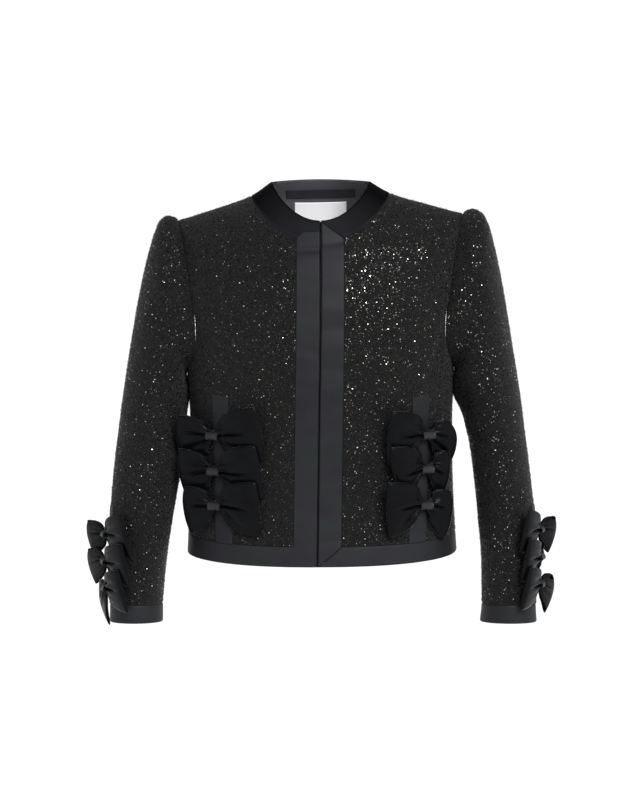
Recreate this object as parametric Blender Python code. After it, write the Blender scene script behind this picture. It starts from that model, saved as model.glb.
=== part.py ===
"""A cropped evening jacket of black sequin tweed, with satin bands and stacked satin bows.

Metres, +Z up. The wearer faces -Y, so the wearer's left side lies at +X. The origin is the middle
of the neck at the height of the shoulder seams, where the wearer holds the jacket up.
"""

import math
from collections import namedtuple

import bmesh
import bpy
from mathutils import Vector

# Cloth and seams
TWEED_WALL = 0.0020
BAND_WALL = 0.0022
BAND_LIFT = 0.0002
RIBBON_WALL = 0.0012
FACING_WALL = 0.0010
STRIP_WALL = 0.0010
SEAM_GAP = 0.0003

# Front opening
OPENING_GAP = 0.0014
FRONT_BAND = 0.0315

# Torso rings from the neck edge to the hem edge. Front and back are depths from the shoulder line,
# left rise is how much the left side sits higher for each metre from the middle, and the front
# opening hangs a little to the right of the ring's own middle.
Ring = namedtuple("Ring", "name middle_x opening_x left_rise half_width side_z "
                          "front front_z back back_z square")
RINGS = (
    Ring("neck edge", 0.0, 0.0, 0.004, 0.0655, 0.0105, 0.074, -0.0415, 0.060, 0.0145, 2.00),
    Ring("band seam", 0.0, 0.0, 0.020, 0.0935, -0.0070, 0.087, -0.0710, 0.079, -0.0110, 2.00),
    Ring("yoke", 0.0, 0.0, 0.024, 0.1460, -0.0240, 0.099, -0.1030, 0.092, -0.0560, 2.03),
    Ring("shoulder end", 0.0, 0.0, 0.024, 0.1780, -0.0335, 0.106, -0.1290, 0.098, -0.0900, 2.00),
    Ring("shoulder tip", 0.0, 0.0, 0.024, 0.1915, -0.0375, 0.110, -0.1500, 0.101, -0.1180, 1.98),
    Ring("upper armhole", 0.0, -0.0003, 0.022, 0.1905, -0.1020, 0.114, -0.1850, 0.105, -0.1650, 2.18),
    Ring("lower armhole", 0.0, -0.0007, 0.020, 0.1840, -0.1750, 0.117, -0.2250, 0.106, -0.2150, 2.32),
    Ring("underarm", 0.0, -0.0013, 0.018, 0.1790, -0.2380, 0.117, -0.2600, 0.104, -0.2550, 2.35),
    Ring("high waist", 0.0010, -0.0021, 0.014, 0.1771, -0.3150, 0.112, -0.3250, 0.099, -0.3250, 2.35),
    Ring("low waist", 0.0012, -0.0030, 0.009, 0.1785, -0.3900, 0.110, -0.3950, 0.099, -0.3950, 2.35),
    Ring("hem seam", 0.0018, -0.0041, 0.006, 0.1820, -0.4640, 0.114, -0.4702, 0.105, -0.4670, 2.35),
    Ring("hem edge", 0.0022, -0.0045, 0.006, 0.1835, -0.4900, 0.117, -0.4965, 0.109, -0.4930, 2.35),
)
RING_PLACE = {ring.name: place for place, ring in enumerate(RINGS)}
NECK_EDGE = RING_PLACE["neck edge"]
BAND_SEAM = RING_PLACE["band seam"]
SHOULDER_TIP = RING_PLACE["shoulder tip"]
UNDERARM = RING_PLACE["underarm"]
HEM_SEAM = RING_PLACE["hem seam"]
HEM_EDGE = RING_PLACE["hem edge"]

# Where the back is cut in two, between the underarm and the high waist
BACK_CUT = UNDERARM + 0.5

# How sharply the height of a ring changes from its side to its front and back
RIDGE = 1.6

# Armhole, in degrees of the torso in front of and behind the side line
ARMHOLE_FRONT = 27.0
ARMHOLE_BACK = 22.0
ARMHOLE_SCOOP = 0.12
ARMHOLE_RING_RADIUS = 0.150
ARMHOLE_RING_SPACING = 0.066

# Sleeve rings, each spanning from the outer line of the sleeve to its inner line. Pitch is the
# rise of a ring towards the front, because the forearm hangs a little forward.
SleeveRing = namedtuple("SleeveRing", "name out_x out_z in_x in_z front back pitch")
SLEEVE_RINGS = {
    "right": (
        SleeveRing("armhole", 0.1905, -0.0410, 0.1790, -0.2400, 0.046, 0.042, 0.0),
        SleeveRing("head rise", 0.1975, -0.0362, 0.1835, -0.2435, 0.052, 0.049, 0.0),
        SleeveRing("head crown", 0.2070, -0.0352, 0.1850, -0.2490, 0.057, 0.055, 0.0),
        SleeveRing("head turn", 0.2158, -0.0410, 0.1842, -0.2560, 0.061, 0.060, 0.0),
        SleeveRing("head side", 0.2228, -0.0555, 0.1822, -0.2625, 0.064, 0.063, 0.0),
        SleeveRing("upper sleeve", 0.2314, -0.0830, 0.1802, -0.2700, 0.066, 0.064, 0.0),
        SleeveRing("biceps", 0.2442, -0.1376, 0.1790, -0.2790, 0.067, 0.064, 0.0),
        SleeveRing("above elbow", 0.2556, -0.2010, 0.1799, -0.2920, 0.067, 0.059, 0.0),
        SleeveRing("elbow", 0.2665, -0.2710, 0.1822, -0.3180, 0.067, 0.052, 0.02),
        SleeveRing("below elbow", 0.2750, -0.3350, 0.1848, -0.3560, 0.068, 0.044, 0.04),
        SleeveRing("forearm", 0.2817, -0.3950, 0.1932, -0.4020, 0.069, 0.035, 0.06),
        SleeveRing("low forearm", 0.2855, -0.4520, 0.2025, -0.4560, 0.069, 0.027, 0.08),
        SleeveRing("wrist", 0.2862, -0.5050, 0.2095, -0.5060, 0.068, 0.022, 0.09),
        SleeveRing("cuff seam", 0.2857, -0.5605, 0.2143, -0.5605, 0.067, 0.020, 0.09),
        SleeveRing("cuff edge", 0.2865, -0.5853, 0.2146, -0.5853, 0.067, 0.020, 0.09),
    ),
    "left": (
        SleeveRing("armhole", 0.1946, -0.0330, 0.1790, -0.2340, 0.046, 0.042, 0.0),
        SleeveRing("head rise", 0.2010, -0.0278, 0.1835, -0.2370, 0.052, 0.049, 0.0),
        SleeveRing("head crown", 0.2093, -0.0265, 0.1850, -0.2425, 0.057, 0.055, 0.0),
        SleeveRing("head turn", 0.2190, -0.0320, 0.1843, -0.2490, 0.061, 0.060, 0.0),
        SleeveRing("head side", 0.2268, -0.0465, 0.1824, -0.2555, 0.064, 0.063, 0.0),
        SleeveRing("upper sleeve", 0.2356, -0.0800, 0.1806, -0.2630, 0.066, 0.064, 0.0),
        SleeveRing("biceps", 0.2475, -0.1371, 0.1802, -0.2730, 0.067, 0.064, 0.0),
        SleeveRing("above elbow", 0.2586, -0.2040, 0.1840, -0.2850, 0.067, 0.059, 0.0),
        SleeveRing("elbow", 0.2700, -0.2740, 0.1938, -0.3080, 0.067, 0.052, 0.02),
        SleeveRing("below elbow", 0.2785, -0.3400, 0.2030, -0.3500, 0.068, 0.044, 0.04),
        SleeveRing("forearm", 0.2855, -0.3960, 0.2093, -0.3985, 0.069, 0.035, 0.06),
        SleeveRing("low forearm", 0.2908, -0.4480, 0.2140, -0.4480, 0.069, 0.027, 0.08),
        SleeveRing("wrist", 0.2920, -0.5050, 0.2185, -0.5050, 0.068, 0.022, 0.09),
        SleeveRing("cuff seam", 0.2924, -0.5605, 0.2192, -0.5605, 0.067, 0.020, 0.09),
        SleeveRing("cuff edge", 0.2940, -0.5853, 0.2170, -0.5853, 0.067, 0.020, 0.09),
    ),
}
UPPER_ARM = 5
ELBOW = 8
CUFF_SEAM = 13
CUFF_EDGE = 14
CUFF_HEIGHT = 0.025

# How far each of the first sleeve rings still follows the armhole
ARMHOLE_FADE = (1.0, 0.80, 0.55, 0.30, 0.12, 0.0, 0.0)

# Inside of the back neck, in metres from the centre back and in places of the torso rings
FACING_ROWS = (0.0, 0.5, 1.0, 2.0, 3.0)
FACING_SIDE_COLUMNS = 6
LOOP_HALF = 0.0485
LOOP_TOP = 0.51
LOOP_LOW = 0.97
LABEL_HALF = 0.0365
LABEL_TOP = 1.15
LABEL_LOW = 1.87

# Satin strips under the bows
FRONT_STRIP_TOP_X = 0.133
FRONT_STRIP_LOW_X = 0.128
FRONT_STRIP_HALF = 0.0112
FRONT_STRIP_TOP_Z = -0.272
FRONT_BOW_ASIDE = 0.004
SLEEVE_STRIP_TURN = 22.0
SLEEVE_STRIP_HALF = 11.0
SLEEVE_STRIP_TOP_Z = -0.425

# Half a bow, from the middle of its knot to its fold. In knot is a share of the knot's half width,
# reach is a share of the wing beyond the knot, and depth and height are shares of the bow's own.
# Sink is how much the ribbon is drawn in by the knot, and valley is a pleat in its front face.
WingStation = namedtuple("WingStation", "in_knot reach depth height sink valley")
WING = (
    WingStation(0.0, 0.00, 0.79, 0.12, 1.0, 0.0),
    WingStation(1.0, 0.03, 0.79, 0.13, 1.0, 0.0),
    WingStation(1.0, 0.16, 0.88, 0.48, 0.6, 0.9),
    WingStation(1.0, 0.38, 0.92, 0.75, 0.1, 1.0),
    WingStation(1.0, 0.68, 1.00, 0.92, 0.0, 0.4),
    WingStation(1.0, 0.91, 0.72, 1.00, 0.0, 0.0),
    WingStation(1.0, 1.00, 0.00, 1.00, 0.0, 0.0),
)
BOW_LEAN = 0.21
BOW_TAPER = 0.53
BowSize = namedtuple("BowSize", "half_height outer_height depth valley "
                                "knot_half_width knot_half_height knot_depth")
BOW_SIZES = {
    "front": BowSize(0.037, 0.030, 0.0070, 0.0048, 0.0080, 0.0082, 0.0072),
    "sleeve": BowSize(0.029, 0.022, 0.0050, 0.0030, 0.0062, 0.0066, 0.0056),
}

# The bows. The inner wing points to the middle of the front. A lift turns a wing away from the
# cloth and a climb turns it upwards, both in degrees. Slant is how much further the lower corner
# of the inner wing reaches than its middle.
Bow = namedtuple("Bow", "name on side centre_z inner_reach inner_lift inner_climb inner_slant "
                        "outer_reach outer_lift outer_climb")
BOWS = (
    Bow("bow_front_right_1", "front", "right", -0.3245, 0.073, -9, 3, 0.000, 0.060, 2, -5),
    Bow("bow_front_right_2", "front", "right", -0.3722, 0.069, -10, -1, 0.000, 0.057, 1, -1),
    Bow("bow_front_right_3", "front", "right", -0.4185, 0.064, -11, -5, -0.003, 0.051, -1, -7),
    Bow("bow_front_left_1", "front", "left", -0.3236, 0.062, -5, -4, -0.004, 0.048, -4, -22),
    Bow("bow_front_left_2", "front", "left", -0.3690, 0.052, -3, -8, -0.014, 0.038, -8, -14),
    Bow("bow_front_left_3", "front", "left", -0.4175, 0.060, -3, -7, -0.007, 0.043, -6, -20),
    Bow("bow_sleeve_right_1", "sleeve", "right", -0.4633, 0.053, -22, 3, 0.002, 0.046, 16, -11),
    Bow("bow_sleeve_right_2", "sleeve", "right", -0.5000, 0.053, -22, 0, 0.002, 0.049, 12, -14),
    Bow("bow_sleeve_right_3", "sleeve", "right", -0.5360, 0.046, -22, 0, 0.002, 0.044, -12, -40),
    Bow("bow_sleeve_left_1", "sleeve", "left", -0.4570, 0.047, -19, 2, 0.000, 0.046, 17, -15),
    Bow("bow_sleeve_left_2", "sleeve", "left", -0.4940, 0.045, -19, 0, 0.000, 0.036, -23, -8),
    Bow("bow_sleeve_left_3", "sleeve", "left", -0.5310, 0.045, -18, -2, 0.000, 0.048, 8, -27),
)

SIDES = {"right": -1, "left": 1}

# Rows and columns of the cloth. The armhole rows match the sleeve columns at their seam.
YOKE_ROWS = 3
ARMHOLE_ROWS = 10
BODY_ROWS = 6
FRONT_COLUMNS = 9
BACK_COLUMNS = 16
BAND_ROWS = 18
SLEEVE_COLUMNS = 20
SLEEVE_PLACES = (0, 0.5, 1, 1.5, 2, 2.5, 3, 4, 5, 6, 7, 8, 9, 10, 11, 12)
TRIM_COLUMNS = 6
STRIP_ROWS = 8
RIBBON_COLUMNS = 4
KNOT_COLUMNS = 8

# Edges sharper than this many degrees are shown sharp
SHARP_EDGE = 50.0

# Steps that the surface directions are measured over, and how often a search is halved
PLACE_STEP = 0.02
TURN_STEP = 0.6
HALVINGS = 30


# Surface functions

def steps(start, end, count):
    return [start + (end - start) * i / count for i in range(count + 1)]


def between(rows, place, column):
    """The value of a column at a fractional row number, on a smooth curve through the rows."""
    last = len(rows) - 1
    low = max(0, min(math.floor(place), last - 1))
    share = place - low
    values = [getattr(row, column) for row in rows]
    here, after = values[low], values[low + 1]
    before = values[low - 1] if low > 0 else 2 * here - after
    beyond = values[low + 2] if low + 2 <= last else 2 * after - here
    slope_here = (after - before) / 2
    slope_after = (beyond - here) / 2
    change = after - here
    cubic = slope_here + slope_after - 2 * change
    square = 3 * change - 2 * slope_here - slope_after
    return here + share * (slope_here + share * (square + share * cubic))


def signed_power(value, power):
    return math.copysign(abs(value) ** power, value)


def torso_point(angle, place):
    """A point of the torso. Angle 0 is the centre front, 90 the left side and -90 the right side."""
    power = 2 / between(RINGS, place, "square")
    across = signed_power(math.sin(math.radians(angle)), power)
    along = signed_power(math.cos(math.radians(angle)), power)
    side_z = between(RINGS, place, "side_z")
    if along >= 0:
        y = -between(RINGS, place, "front") * along
        middle_z = between(RINGS, place, "front_z")
    else:
        y = -between(RINGS, place, "back") * along
        middle_z = between(RINGS, place, "back_z")
    x = between(RINGS, place, "half_width") * across
    z = side_z + (middle_z - side_z) * abs(along) ** RIDGE + between(RINGS, place, "left_rise") * x
    return Vector((between(RINGS, place, "middle_x") + x, y, z))


def torso_normal(angle, place):
    """The outward direction of the torso at a point."""
    down = torso_point(angle, place + PLACE_STEP) - torso_point(angle, place - PLACE_STEP)
    leftward = torso_point(angle + TURN_STEP, place) - torso_point(angle - TURN_STEP, place)
    return down.cross(leftward).normalized()


def angle_at_x(x, place):
    """The front angle at which the torso is at x."""
    share = (x - between(RINGS, place, "middle_x")) / between(RINGS, place, "half_width")
    return math.degrees(math.asin(signed_power(share, between(RINGS, place, "square") / 2)))


def angle_off_opening(side, distance, place):
    """The front angle at this distance from the middle of the front opening."""
    return angle_at_x(between(RINGS, place, "opening_x") + SIDES[side] * distance, place)


def angle_off_side(distance, place, depth_column):
    """How far from 90 degrees the torso is this distance in front of or behind its side line."""
    share = distance / between(RINGS, place, depth_column)
    return math.degrees(math.asin(share ** (between(RINGS, place, "square") / 2)))


def half_gap(place):
    """Half a seam gap as a share of the way from one torso ring to the next."""
    step = torso_point(0, place + PLACE_STEP) - torso_point(0, place - PLACE_STEP)
    return SEAM_GAP / 2 * 2 * PLACE_STEP / step.length


def place_at_height(point_at, z, low, high):
    """The place between low and high where the line that a function gives is at height z."""
    for _ in range(HALVINGS):
        middle = (low + high) / 2
        if point_at(middle).z > z:
            low = middle
        else:
            high = middle
    return (low + high) / 2


def armhole_width(turn, inset_degrees=0.0):
    """Degrees of the torso between the side line and the armhole. Turn 0 is the shoulder tip."""
    sweep = math.sin(math.radians(turn))
    widest = ARMHOLE_FRONT if sweep >= 0 else ARMHOLE_BACK
    scoop = 1 - ARMHOLE_SCOOP * math.cos(math.radians(turn))
    return (widest - inset_degrees) * abs(sweep) * scoop


def armhole_place(turn, inset_places=0.0):
    share = (1 - math.cos(math.radians(turn))) / 2
    return SHOULDER_TIP + inset_places + (UNDERARM - SHOULDER_TIP - 2 * inset_places) * share


def armhole_spot(turn, side, inset):
    """A point of the armhole as torso angle and place, moved into the hole by the inset."""
    width = armhole_width(turn, math.degrees(inset / ARMHOLE_RING_RADIUS))
    towards_front = 1 if math.sin(math.radians(turn)) >= 0 else -1
    place = armhole_place(turn, inset / ARMHOLE_RING_SPACING)
    return SIDES[side] * (90 - towards_front * width), place


def ring_point(ring, side, turn):
    """A point of a sleeve ring. Turn 0 is its outer line, 90 its front and 180 its inner line."""
    across = math.cos(math.radians(turn))
    along = math.sin(math.radians(turn))
    x = (ring.out_x + ring.in_x) / 2 + (ring.out_x - ring.in_x) / 2 * across
    forward = (ring.back + ring.front) / 2 * along
    y = (ring.back - ring.front) / 2 - forward
    z = (ring.out_z + ring.in_z) / 2 + (ring.out_z - ring.in_z) / 2 * across + ring.pitch * forward
    return Vector((SIDES[side] * x, y, z))


def sleeve_point(side, turn, place):
    """A point of the sleeve, which starts on the armhole and leaves it within its head."""
    rows = SLEEVE_RINGS[side]
    sizes = [between(rows, place, column) for column in SleeveRing._fields[1:]]
    point = ring_point(SleeveRing("between", *sizes), side, turn)
    if place < len(ARMHOLE_FADE) - 1:
        low = math.floor(max(place, 0))
        fade = ARMHOLE_FADE[low] + (ARMHOLE_FADE[low + 1] - ARMHOLE_FADE[low]) * (place - low)
        armhole = torso_point(*armhole_spot(turn, side, SEAM_GAP))
        point += (armhole - ring_point(rows[0], side, turn)) * fade
    return point


def sleeve_normal(side, turn, place):
    """The outward direction of the sleeve at a point, shared with the torso at the armhole."""
    down = sleeve_point(side, turn, place + PLACE_STEP) - sleeve_point(side, turn, place)
    forward = sleeve_point(side, turn + TURN_STEP, place) - sleeve_point(side, turn - TURN_STEP, place)
    normal = (forward.cross(down) * SIDES[side]).normalized()
    if place == 0:
        normal = (normal + torso_normal(*armhole_spot(turn, side, SEAM_GAP))).normalized()
    return normal


# Mesh functions

def wall(name, cloth, outer, inner, round_columns=False, round_rows=False):
    """A closed wall between two equal grids of points. The first grid is its outer face.

    Both faces are cut along the same diagonals, so that walls which lie on each other keep apart.
    """
    rows, columns = len(outer), len(outer[0])
    points = [point for grid in (outer, inner) for row in grid for point in row]
    below = rows * columns

    def at(row, column):
        return (row % rows) * columns + column % columns

    faces = []
    for row in range(rows if round_rows else rows - 1):
        for column in range(columns if round_columns else columns - 1):
            start, end = at(row, column), at(row + 1, column + 1)
            for half in ([start, at(row + 1, column), end], [start, end, at(row, column + 1)]):
                faces.append(half)
                faces.append([below + corner for corner in reversed(half)])
    if not round_rows:
        for row in (0, rows - 1):
            for column in range(columns if round_columns else columns - 1):
                first, second = at(row, column), at(row, column + 1)
                faces.append([first, second, below + second, below + first])
    if not round_columns:
        for column in (0, columns - 1):
            for row in range(rows if round_rows else rows - 1):
                first, second = at(row, column), at(row + 1, column)
                faces.append([first, second, below + second, below + first])
    add_object(name, cloth, points, faces)


def add_object(name, cloth, points, faces):
    """A named object of the jacket with all its faces pointing out."""
    mesh = bpy.data.meshes.new(name)
    mesh.from_pydata([tuple(point) for point in points], [], faces)
    shell = bmesh.new()
    shell.from_mesh(mesh)
    bmesh.ops.recalc_face_normals(shell, faces=shell.faces)
    shell.to_mesh(mesh)
    shell.free()
    mesh.shade_smooth()
    mesh.set_sharp_from_angle(angle=math.radians(SHARP_EDGE))
    mesh.materials.append(cloth)
    bpy.context.scene.collection.objects.link(bpy.data.objects.new(name, mesh))


def torso_wall(name, cloth, grid, thickness, lift=0.0):
    """A wall on the torso from rows of (angle, place) spots. Lift raises its outer face."""
    outer, inner = [], []
    for row in grid:
        pairs = [(torso_point(*spot), torso_normal(*spot)) for spot in row]
        outer.append([point + normal * lift for point, normal in pairs])
        inner.append([point + normal * (lift - thickness) for point, normal in pairs])
    wall(name, cloth, outer, inner)


def cloth_material(name, colour, roughness, sheen=0.0):
    made = bpy.data.materials.new(name)
    made.use_nodes = True
    made.diffuse_color = (*colour, 1.0)
    shader = made.node_tree.nodes["Principled BSDF"]
    shader.inputs["Base Color"].default_value = (*colour, 1.0)
    shader.inputs["Roughness"].default_value = roughness
    shader.inputs["Metallic"].default_value = 0.0
    shader.inputs["Sheen Weight"].default_value = sheen
    return made


# Fronts and back

def panel_edge(place, depth_column):
    """Degrees between the side line and the edge of a front or back, at a seam or the armhole."""
    off_side = angle_off_side(SEAM_GAP / 2, place, depth_column)
    if SHOULDER_TIP < place < UNDERARM:
        share = (place - SHOULDER_TIP) / (UNDERARM - SHOULDER_TIP)
        turn = math.degrees(math.acos(1 - 2 * share))
        turn = turn if depth_column == "front" else -turn
        off_side = max(off_side, armhole_width(turn))
    return off_side


def panel_places():
    """Rows of a torso panel from the band seam to the hem seam."""
    start = BAND_SEAM + half_gap(BAND_SEAM)
    end = HEM_SEAM - half_gap(HEM_SEAM)
    armhole = [armhole_place(turn) for turn in steps(0, 180, ARMHOLE_ROWS)]
    yoke = [start] + steps(BAND_SEAM, SHOULDER_TIP, YOKE_ROWS)[1:-1]
    body = steps(UNDERARM, HEM_SEAM, BODY_ROWS)[1:-1] + [end]
    return yoke + armhole + body


def front_angles(side, place, distance):
    """Angles across a front from a distance off the opening to the side seam or armhole."""
    start = angle_off_opening(side, distance, place)
    end = SIDES[side] * (90 - panel_edge(place, "front"))
    return steps(start, end, FRONT_COLUMNS)


def back_angles(place):
    edge = panel_edge(place, "back")
    return steps(90 + edge, 270 - edge, BACK_COLUMNS)


def build_front(side, tweed):
    """One front of tweed, from the front band to the side seam, shoulder seam and armhole."""
    start = FRONT_BAND + SEAM_GAP / 2
    grid = [[(angle, place) for angle in front_angles(side, place, start)] for place in panel_places()]
    torso_wall(f"front_{side}", tweed, grid, TWEED_WALL)


def build_back(tweed):
    """The back of tweed from side seam to side seam, in two walls that meet below the underarm."""
    places = panel_places()
    gap = half_gap(BACK_CUT)
    above = [place for place in places if place < BACK_CUT]
    below = [place for place in places if place > BACK_CUT]
    walls = {"upper": (*above, BACK_CUT - gap), "lower": (BACK_CUT + gap, *below)}
    for part, rows in walls.items():
        grid = [[(angle, place) for angle in back_angles(place)] for place in rows]
        torso_wall(f"back_{part}", tweed, grid, TWEED_WALL)


# Satin bands

def build_front_band(side, satin):
    """The upright band of one front. It is mitred at the hem, and on the left at the neck too."""
    top = {"left": (NECK_EDGE, BAND_SEAM), "right": (BAND_SEAM, BAND_SEAM)}[side]
    low = (HEM_EDGE, HEM_SEAM)
    grid = []
    for share in steps(0, 1, BAND_ROWS):
        row = []
        for across in steps(0, 1, 2):
            start = top[0] + (top[1] - top[0]) * across
            end = low[0] + (low[1] - low[0]) * across
            start += half_gap(start)
            end -= half_gap(end)
            place = start + (end - start) * share
            distance = OPENING_GAP / 2 + (FRONT_BAND - SEAM_GAP / 2 - OPENING_GAP / 2) * across
            row.append((angle_off_opening(side, distance, place), place))
        grid.append(row)
    torso_wall(f"front_band_{side}", satin, grid, BAND_WALL, BAND_LIFT)


def build_neck_band(satin):
    """The band round the neck. Its left end is mitred and its right end lies over the front band."""
    grid = []
    for share in steps(0, 1, 2):
        place = NECK_EDGE + (BAND_SEAM - half_gap(BAND_SEAM) - NECK_EDGE) * share
        mitre = OPENING_GAP / 2 + SEAM_GAP + (FRONT_BAND - OPENING_GAP / 2) * share
        left = front_angles("left", place, mitre)
        right = [360 + angle for angle in reversed(front_angles("right", place, FRONT_BAND))]
        end = 360 + angle_off_opening("right", OPENING_GAP / 2, place)
        angles = left[:-1] + steps(90, 270, BACK_COLUMNS) + right[1:] + [(right[-1] + end) / 2, end]
        grid.append([(angle, place) for angle in angles])
    torso_wall("neck_band", satin, grid, BAND_WALL, BAND_LIFT)


def build_hem_bands(satin):
    """Three bands round the hem, seamed at the sides and mitred to the front bands."""
    places = steps(HEM_SEAM + half_gap(HEM_SEAM), HEM_EDGE, 2)
    for side in SIDES:
        grid = []
        for place in places:
            mitre = OPENING_GAP / 2 + SEAM_GAP + (FRONT_BAND - OPENING_GAP / 2) * (HEM_EDGE - place)
            grid.append([(angle, place) for angle in front_angles(side, place, mitre)])
        torso_wall(f"hem_band_{side}", satin, grid, BAND_WALL, BAND_LIFT)
    grid = [[(angle, place) for angle in back_angles(place)] for place in places]
    torso_wall("hem_band_back", satin, grid, BAND_WALL, BAND_LIFT)


# Inside of the back neck

def point_on_line(line, x):
    """The point of a row of points where it crosses x, between the two points beside it."""
    for first, second in zip(line, line[1:]):
        if min(first.x, second.x) <= x <= max(first.x, second.x):
            return first.lerp(second, (x - first.x) / (second.x - first.x))
    raise ValueError("The row of points does not reach this far.")


def build_inside_neck(lining, satin, label):
    """The facing inside the back neck, with a hanging loop and a blank label sewn flat on it."""
    first = BACK_COLUMNS // 2 - FACING_SIDE_COLUMNS
    angles = steps(90, 270, BACK_COLUMNS)[first:first + 2 * FACING_SIDE_COLUMNS + 1]
    grid = [[(angle, place) for angle in angles] for place in FACING_ROWS]
    facing_lift = -TWEED_WALL - SEAM_GAP
    torso_wall("facing_back", lining, grid, FACING_WALL, facing_lift)

    def facing_line(place, depth):
        """The facing's own points at a place between two of its rows, moved in by the depth."""
        row = max(index for index, start in enumerate(FACING_ROWS) if start <= place)
        share = (place - FACING_ROWS[row]) / (FACING_ROWS[row + 1] - FACING_ROWS[row])
        ends = []
        for edge in FACING_ROWS[row:row + 2]:
            ends.append([torso_point(angle, edge) + torso_normal(angle, edge) * (facing_lift - depth)
                         for angle in angles])
        return [upper.lerp(lower, share) for upper, lower in zip(*ends)]

    def sewn_on(name, cloth, half_width, top, low):
        depths = (FACING_WALL + SEAM_GAP, 2 * FACING_WALL + SEAM_GAP)
        sides = []
        for depth in depths:
            lines = [facing_line(place, depth) for place in (top, low)]
            sides.append([[point_on_line(line, x) for x in steps(half_width, -half_width, TRIM_COLUMNS)]
                          for line in lines])
        wall(name, cloth, *sides)

    sewn_on("hanging_loop", satin, LOOP_HALF, LOOP_TOP, LOOP_LOW)
    sewn_on("label", label, LABEL_HALF, LABEL_TOP, LABEL_LOW)


# Sleeves

def sleeve_half_gap(side, turn, place):
    """Half a seam gap as a share of the way from one sleeve ring to the next."""
    step = sleeve_point(side, turn, place + PLACE_STEP) - sleeve_point(side, turn, place - PLACE_STEP)
    return SEAM_GAP / 2 * 2 * PLACE_STEP / step.length


def sleeve_grids(side, turns, places, thickness, lift):
    """The outer and inner points of a piece on a sleeve. An end on a cut keeps half a gap from it."""
    away = {places[0]: 1, places[-1]: -1}
    grids = ([], [])
    for place in places:
        pairs = []
        for turn in turns:
            spot = place
            if place in (UPPER_ARM, ELBOW):
                spot += away.get(place, 0) * sleeve_half_gap(side, turn, place)
            pairs.append((sleeve_point(side, turn, spot), sleeve_normal(side, turn, spot)))
        grids[0].append([point + normal * lift for point, normal in pairs])
        grids[1].append([point + normal * (lift - thickness) for point, normal in pairs])
    return grids


def build_sleeve(side, tweed, satin):
    """A set-in sleeve of tweed, in three tubes that meet end to end, with its satin cuff band."""
    turns = steps(0, 360, SLEEVE_COLUMNS)[:-1]
    seam = SEAM_GAP / 2 / CUFF_HEIGHT
    tubes = {
        "head": (0, UPPER_ARM),
        "upper": (UPPER_ARM, ELBOW),
        "lower": (ELBOW, CUFF_SEAM - seam / 2),
    }
    for part, (start, end) in tubes.items():
        between_ends = [place for place in SLEEVE_PLACES if start < place < end]
        grids = sleeve_grids(side, turns, (start, *between_ends, end), TWEED_WALL, 0.0)
        wall(f"sleeve_{part}_{side}", tweed, *grids, round_columns=True)
    places = steps(CUFF_SEAM + seam, CUFF_EDGE, 2)
    wall(f"cuff_{side}", satin, *sleeve_grids(side, turns, places, BAND_WALL, BAND_LIFT), round_columns=True)


# Satin strips and bows

def front_strip_spot(side, place, aside=0.0):
    """A spot on the middle line of a front's strip, or aside from it towards the side seam."""
    share = (place - UNDERARM) / (HEM_SEAM - UNDERARM)
    x = FRONT_STRIP_TOP_X + (FRONT_STRIP_LOW_X - FRONT_STRIP_TOP_X) * share + aside
    return angle_at_x(SIDES[side] * x, place), place


def build_strips(satin):
    """The satin strips that carry the bows, one on each front and one on each sleeve."""
    lift = SEAM_GAP + STRIP_WALL
    for side in SIDES:
        top = place_at_height(lambda place: torso_point(*front_strip_spot(side, place)),
                              FRONT_STRIP_TOP_Z, UNDERARM, HEM_SEAM)
        grid = []
        for place in steps(top, HEM_SEAM - 2 * half_gap(HEM_SEAM), STRIP_ROWS):
            asides = steps(-FRONT_STRIP_HALF, FRONT_STRIP_HALF, 2)
            grid.append([front_strip_spot(side, place, aside) for aside in asides])
        torso_wall(f"strip_front_{side}", satin, grid, STRIP_WALL, lift)

        top = place_at_height(lambda place: sleeve_point(side, SLEEVE_STRIP_TURN, place),
                              SLEEVE_STRIP_TOP_Z, 0, CUFF_SEAM)
        places = steps(top, CUFF_SEAM - SEAM_GAP / CUFF_HEIGHT, STRIP_ROWS)
        turns = steps(SLEEVE_STRIP_TURN - SLEEVE_STRIP_HALF, SLEEVE_STRIP_TURN + SLEEVE_STRIP_HALF, 2)
        wall(f"strip_sleeve_{side}", satin, *sleeve_grids(side, turns, places, STRIP_WALL, lift))


def bow_frame(bow):
    """The point of the strip behind a bow, with the directions inwards, up and out from the cloth."""
    if bow.on == "front":
        def point_at(place):
            return torso_point(*front_strip_spot(bow.side, place, FRONT_BOW_ASIDE))

        place = place_at_height(point_at, bow.centre_z, UNDERARM, HEM_SEAM)
        out = torso_normal(*front_strip_spot(bow.side, place, FRONT_BOW_ASIDE))
    else:
        def point_at(place):
            return sleeve_point(bow.side, SLEEVE_STRIP_TURN, place)

        place = place_at_height(point_at, bow.centre_z, 0, CUFF_SEAM)
        out = sleeve_normal(bow.side, SLEEVE_STRIP_TURN, place)
    up = (point_at(place - PLACE_STEP) - point_at(place + PLACE_STEP)).normalized()
    inward = up.cross(out).normalized() * -SIDES[bow.side]
    return point_at(place) + out * (SEAM_GAP + STRIP_WALL), inward, up, out


def ribbon_path():
    """The stations round the closed ribbon as (wing, face, station), where +1 is inner and front."""
    stations = WING[::-1] + WING[1:]
    wings = [-1] * len(WING) + [1] * (len(WING) - 1)
    front = [(wing, 1, station) for wing, station in zip(wings, stations)]
    back = [(-wing, -1, station) for wing, station in zip(wings, stations)]
    return front + back[1:-1]


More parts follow.
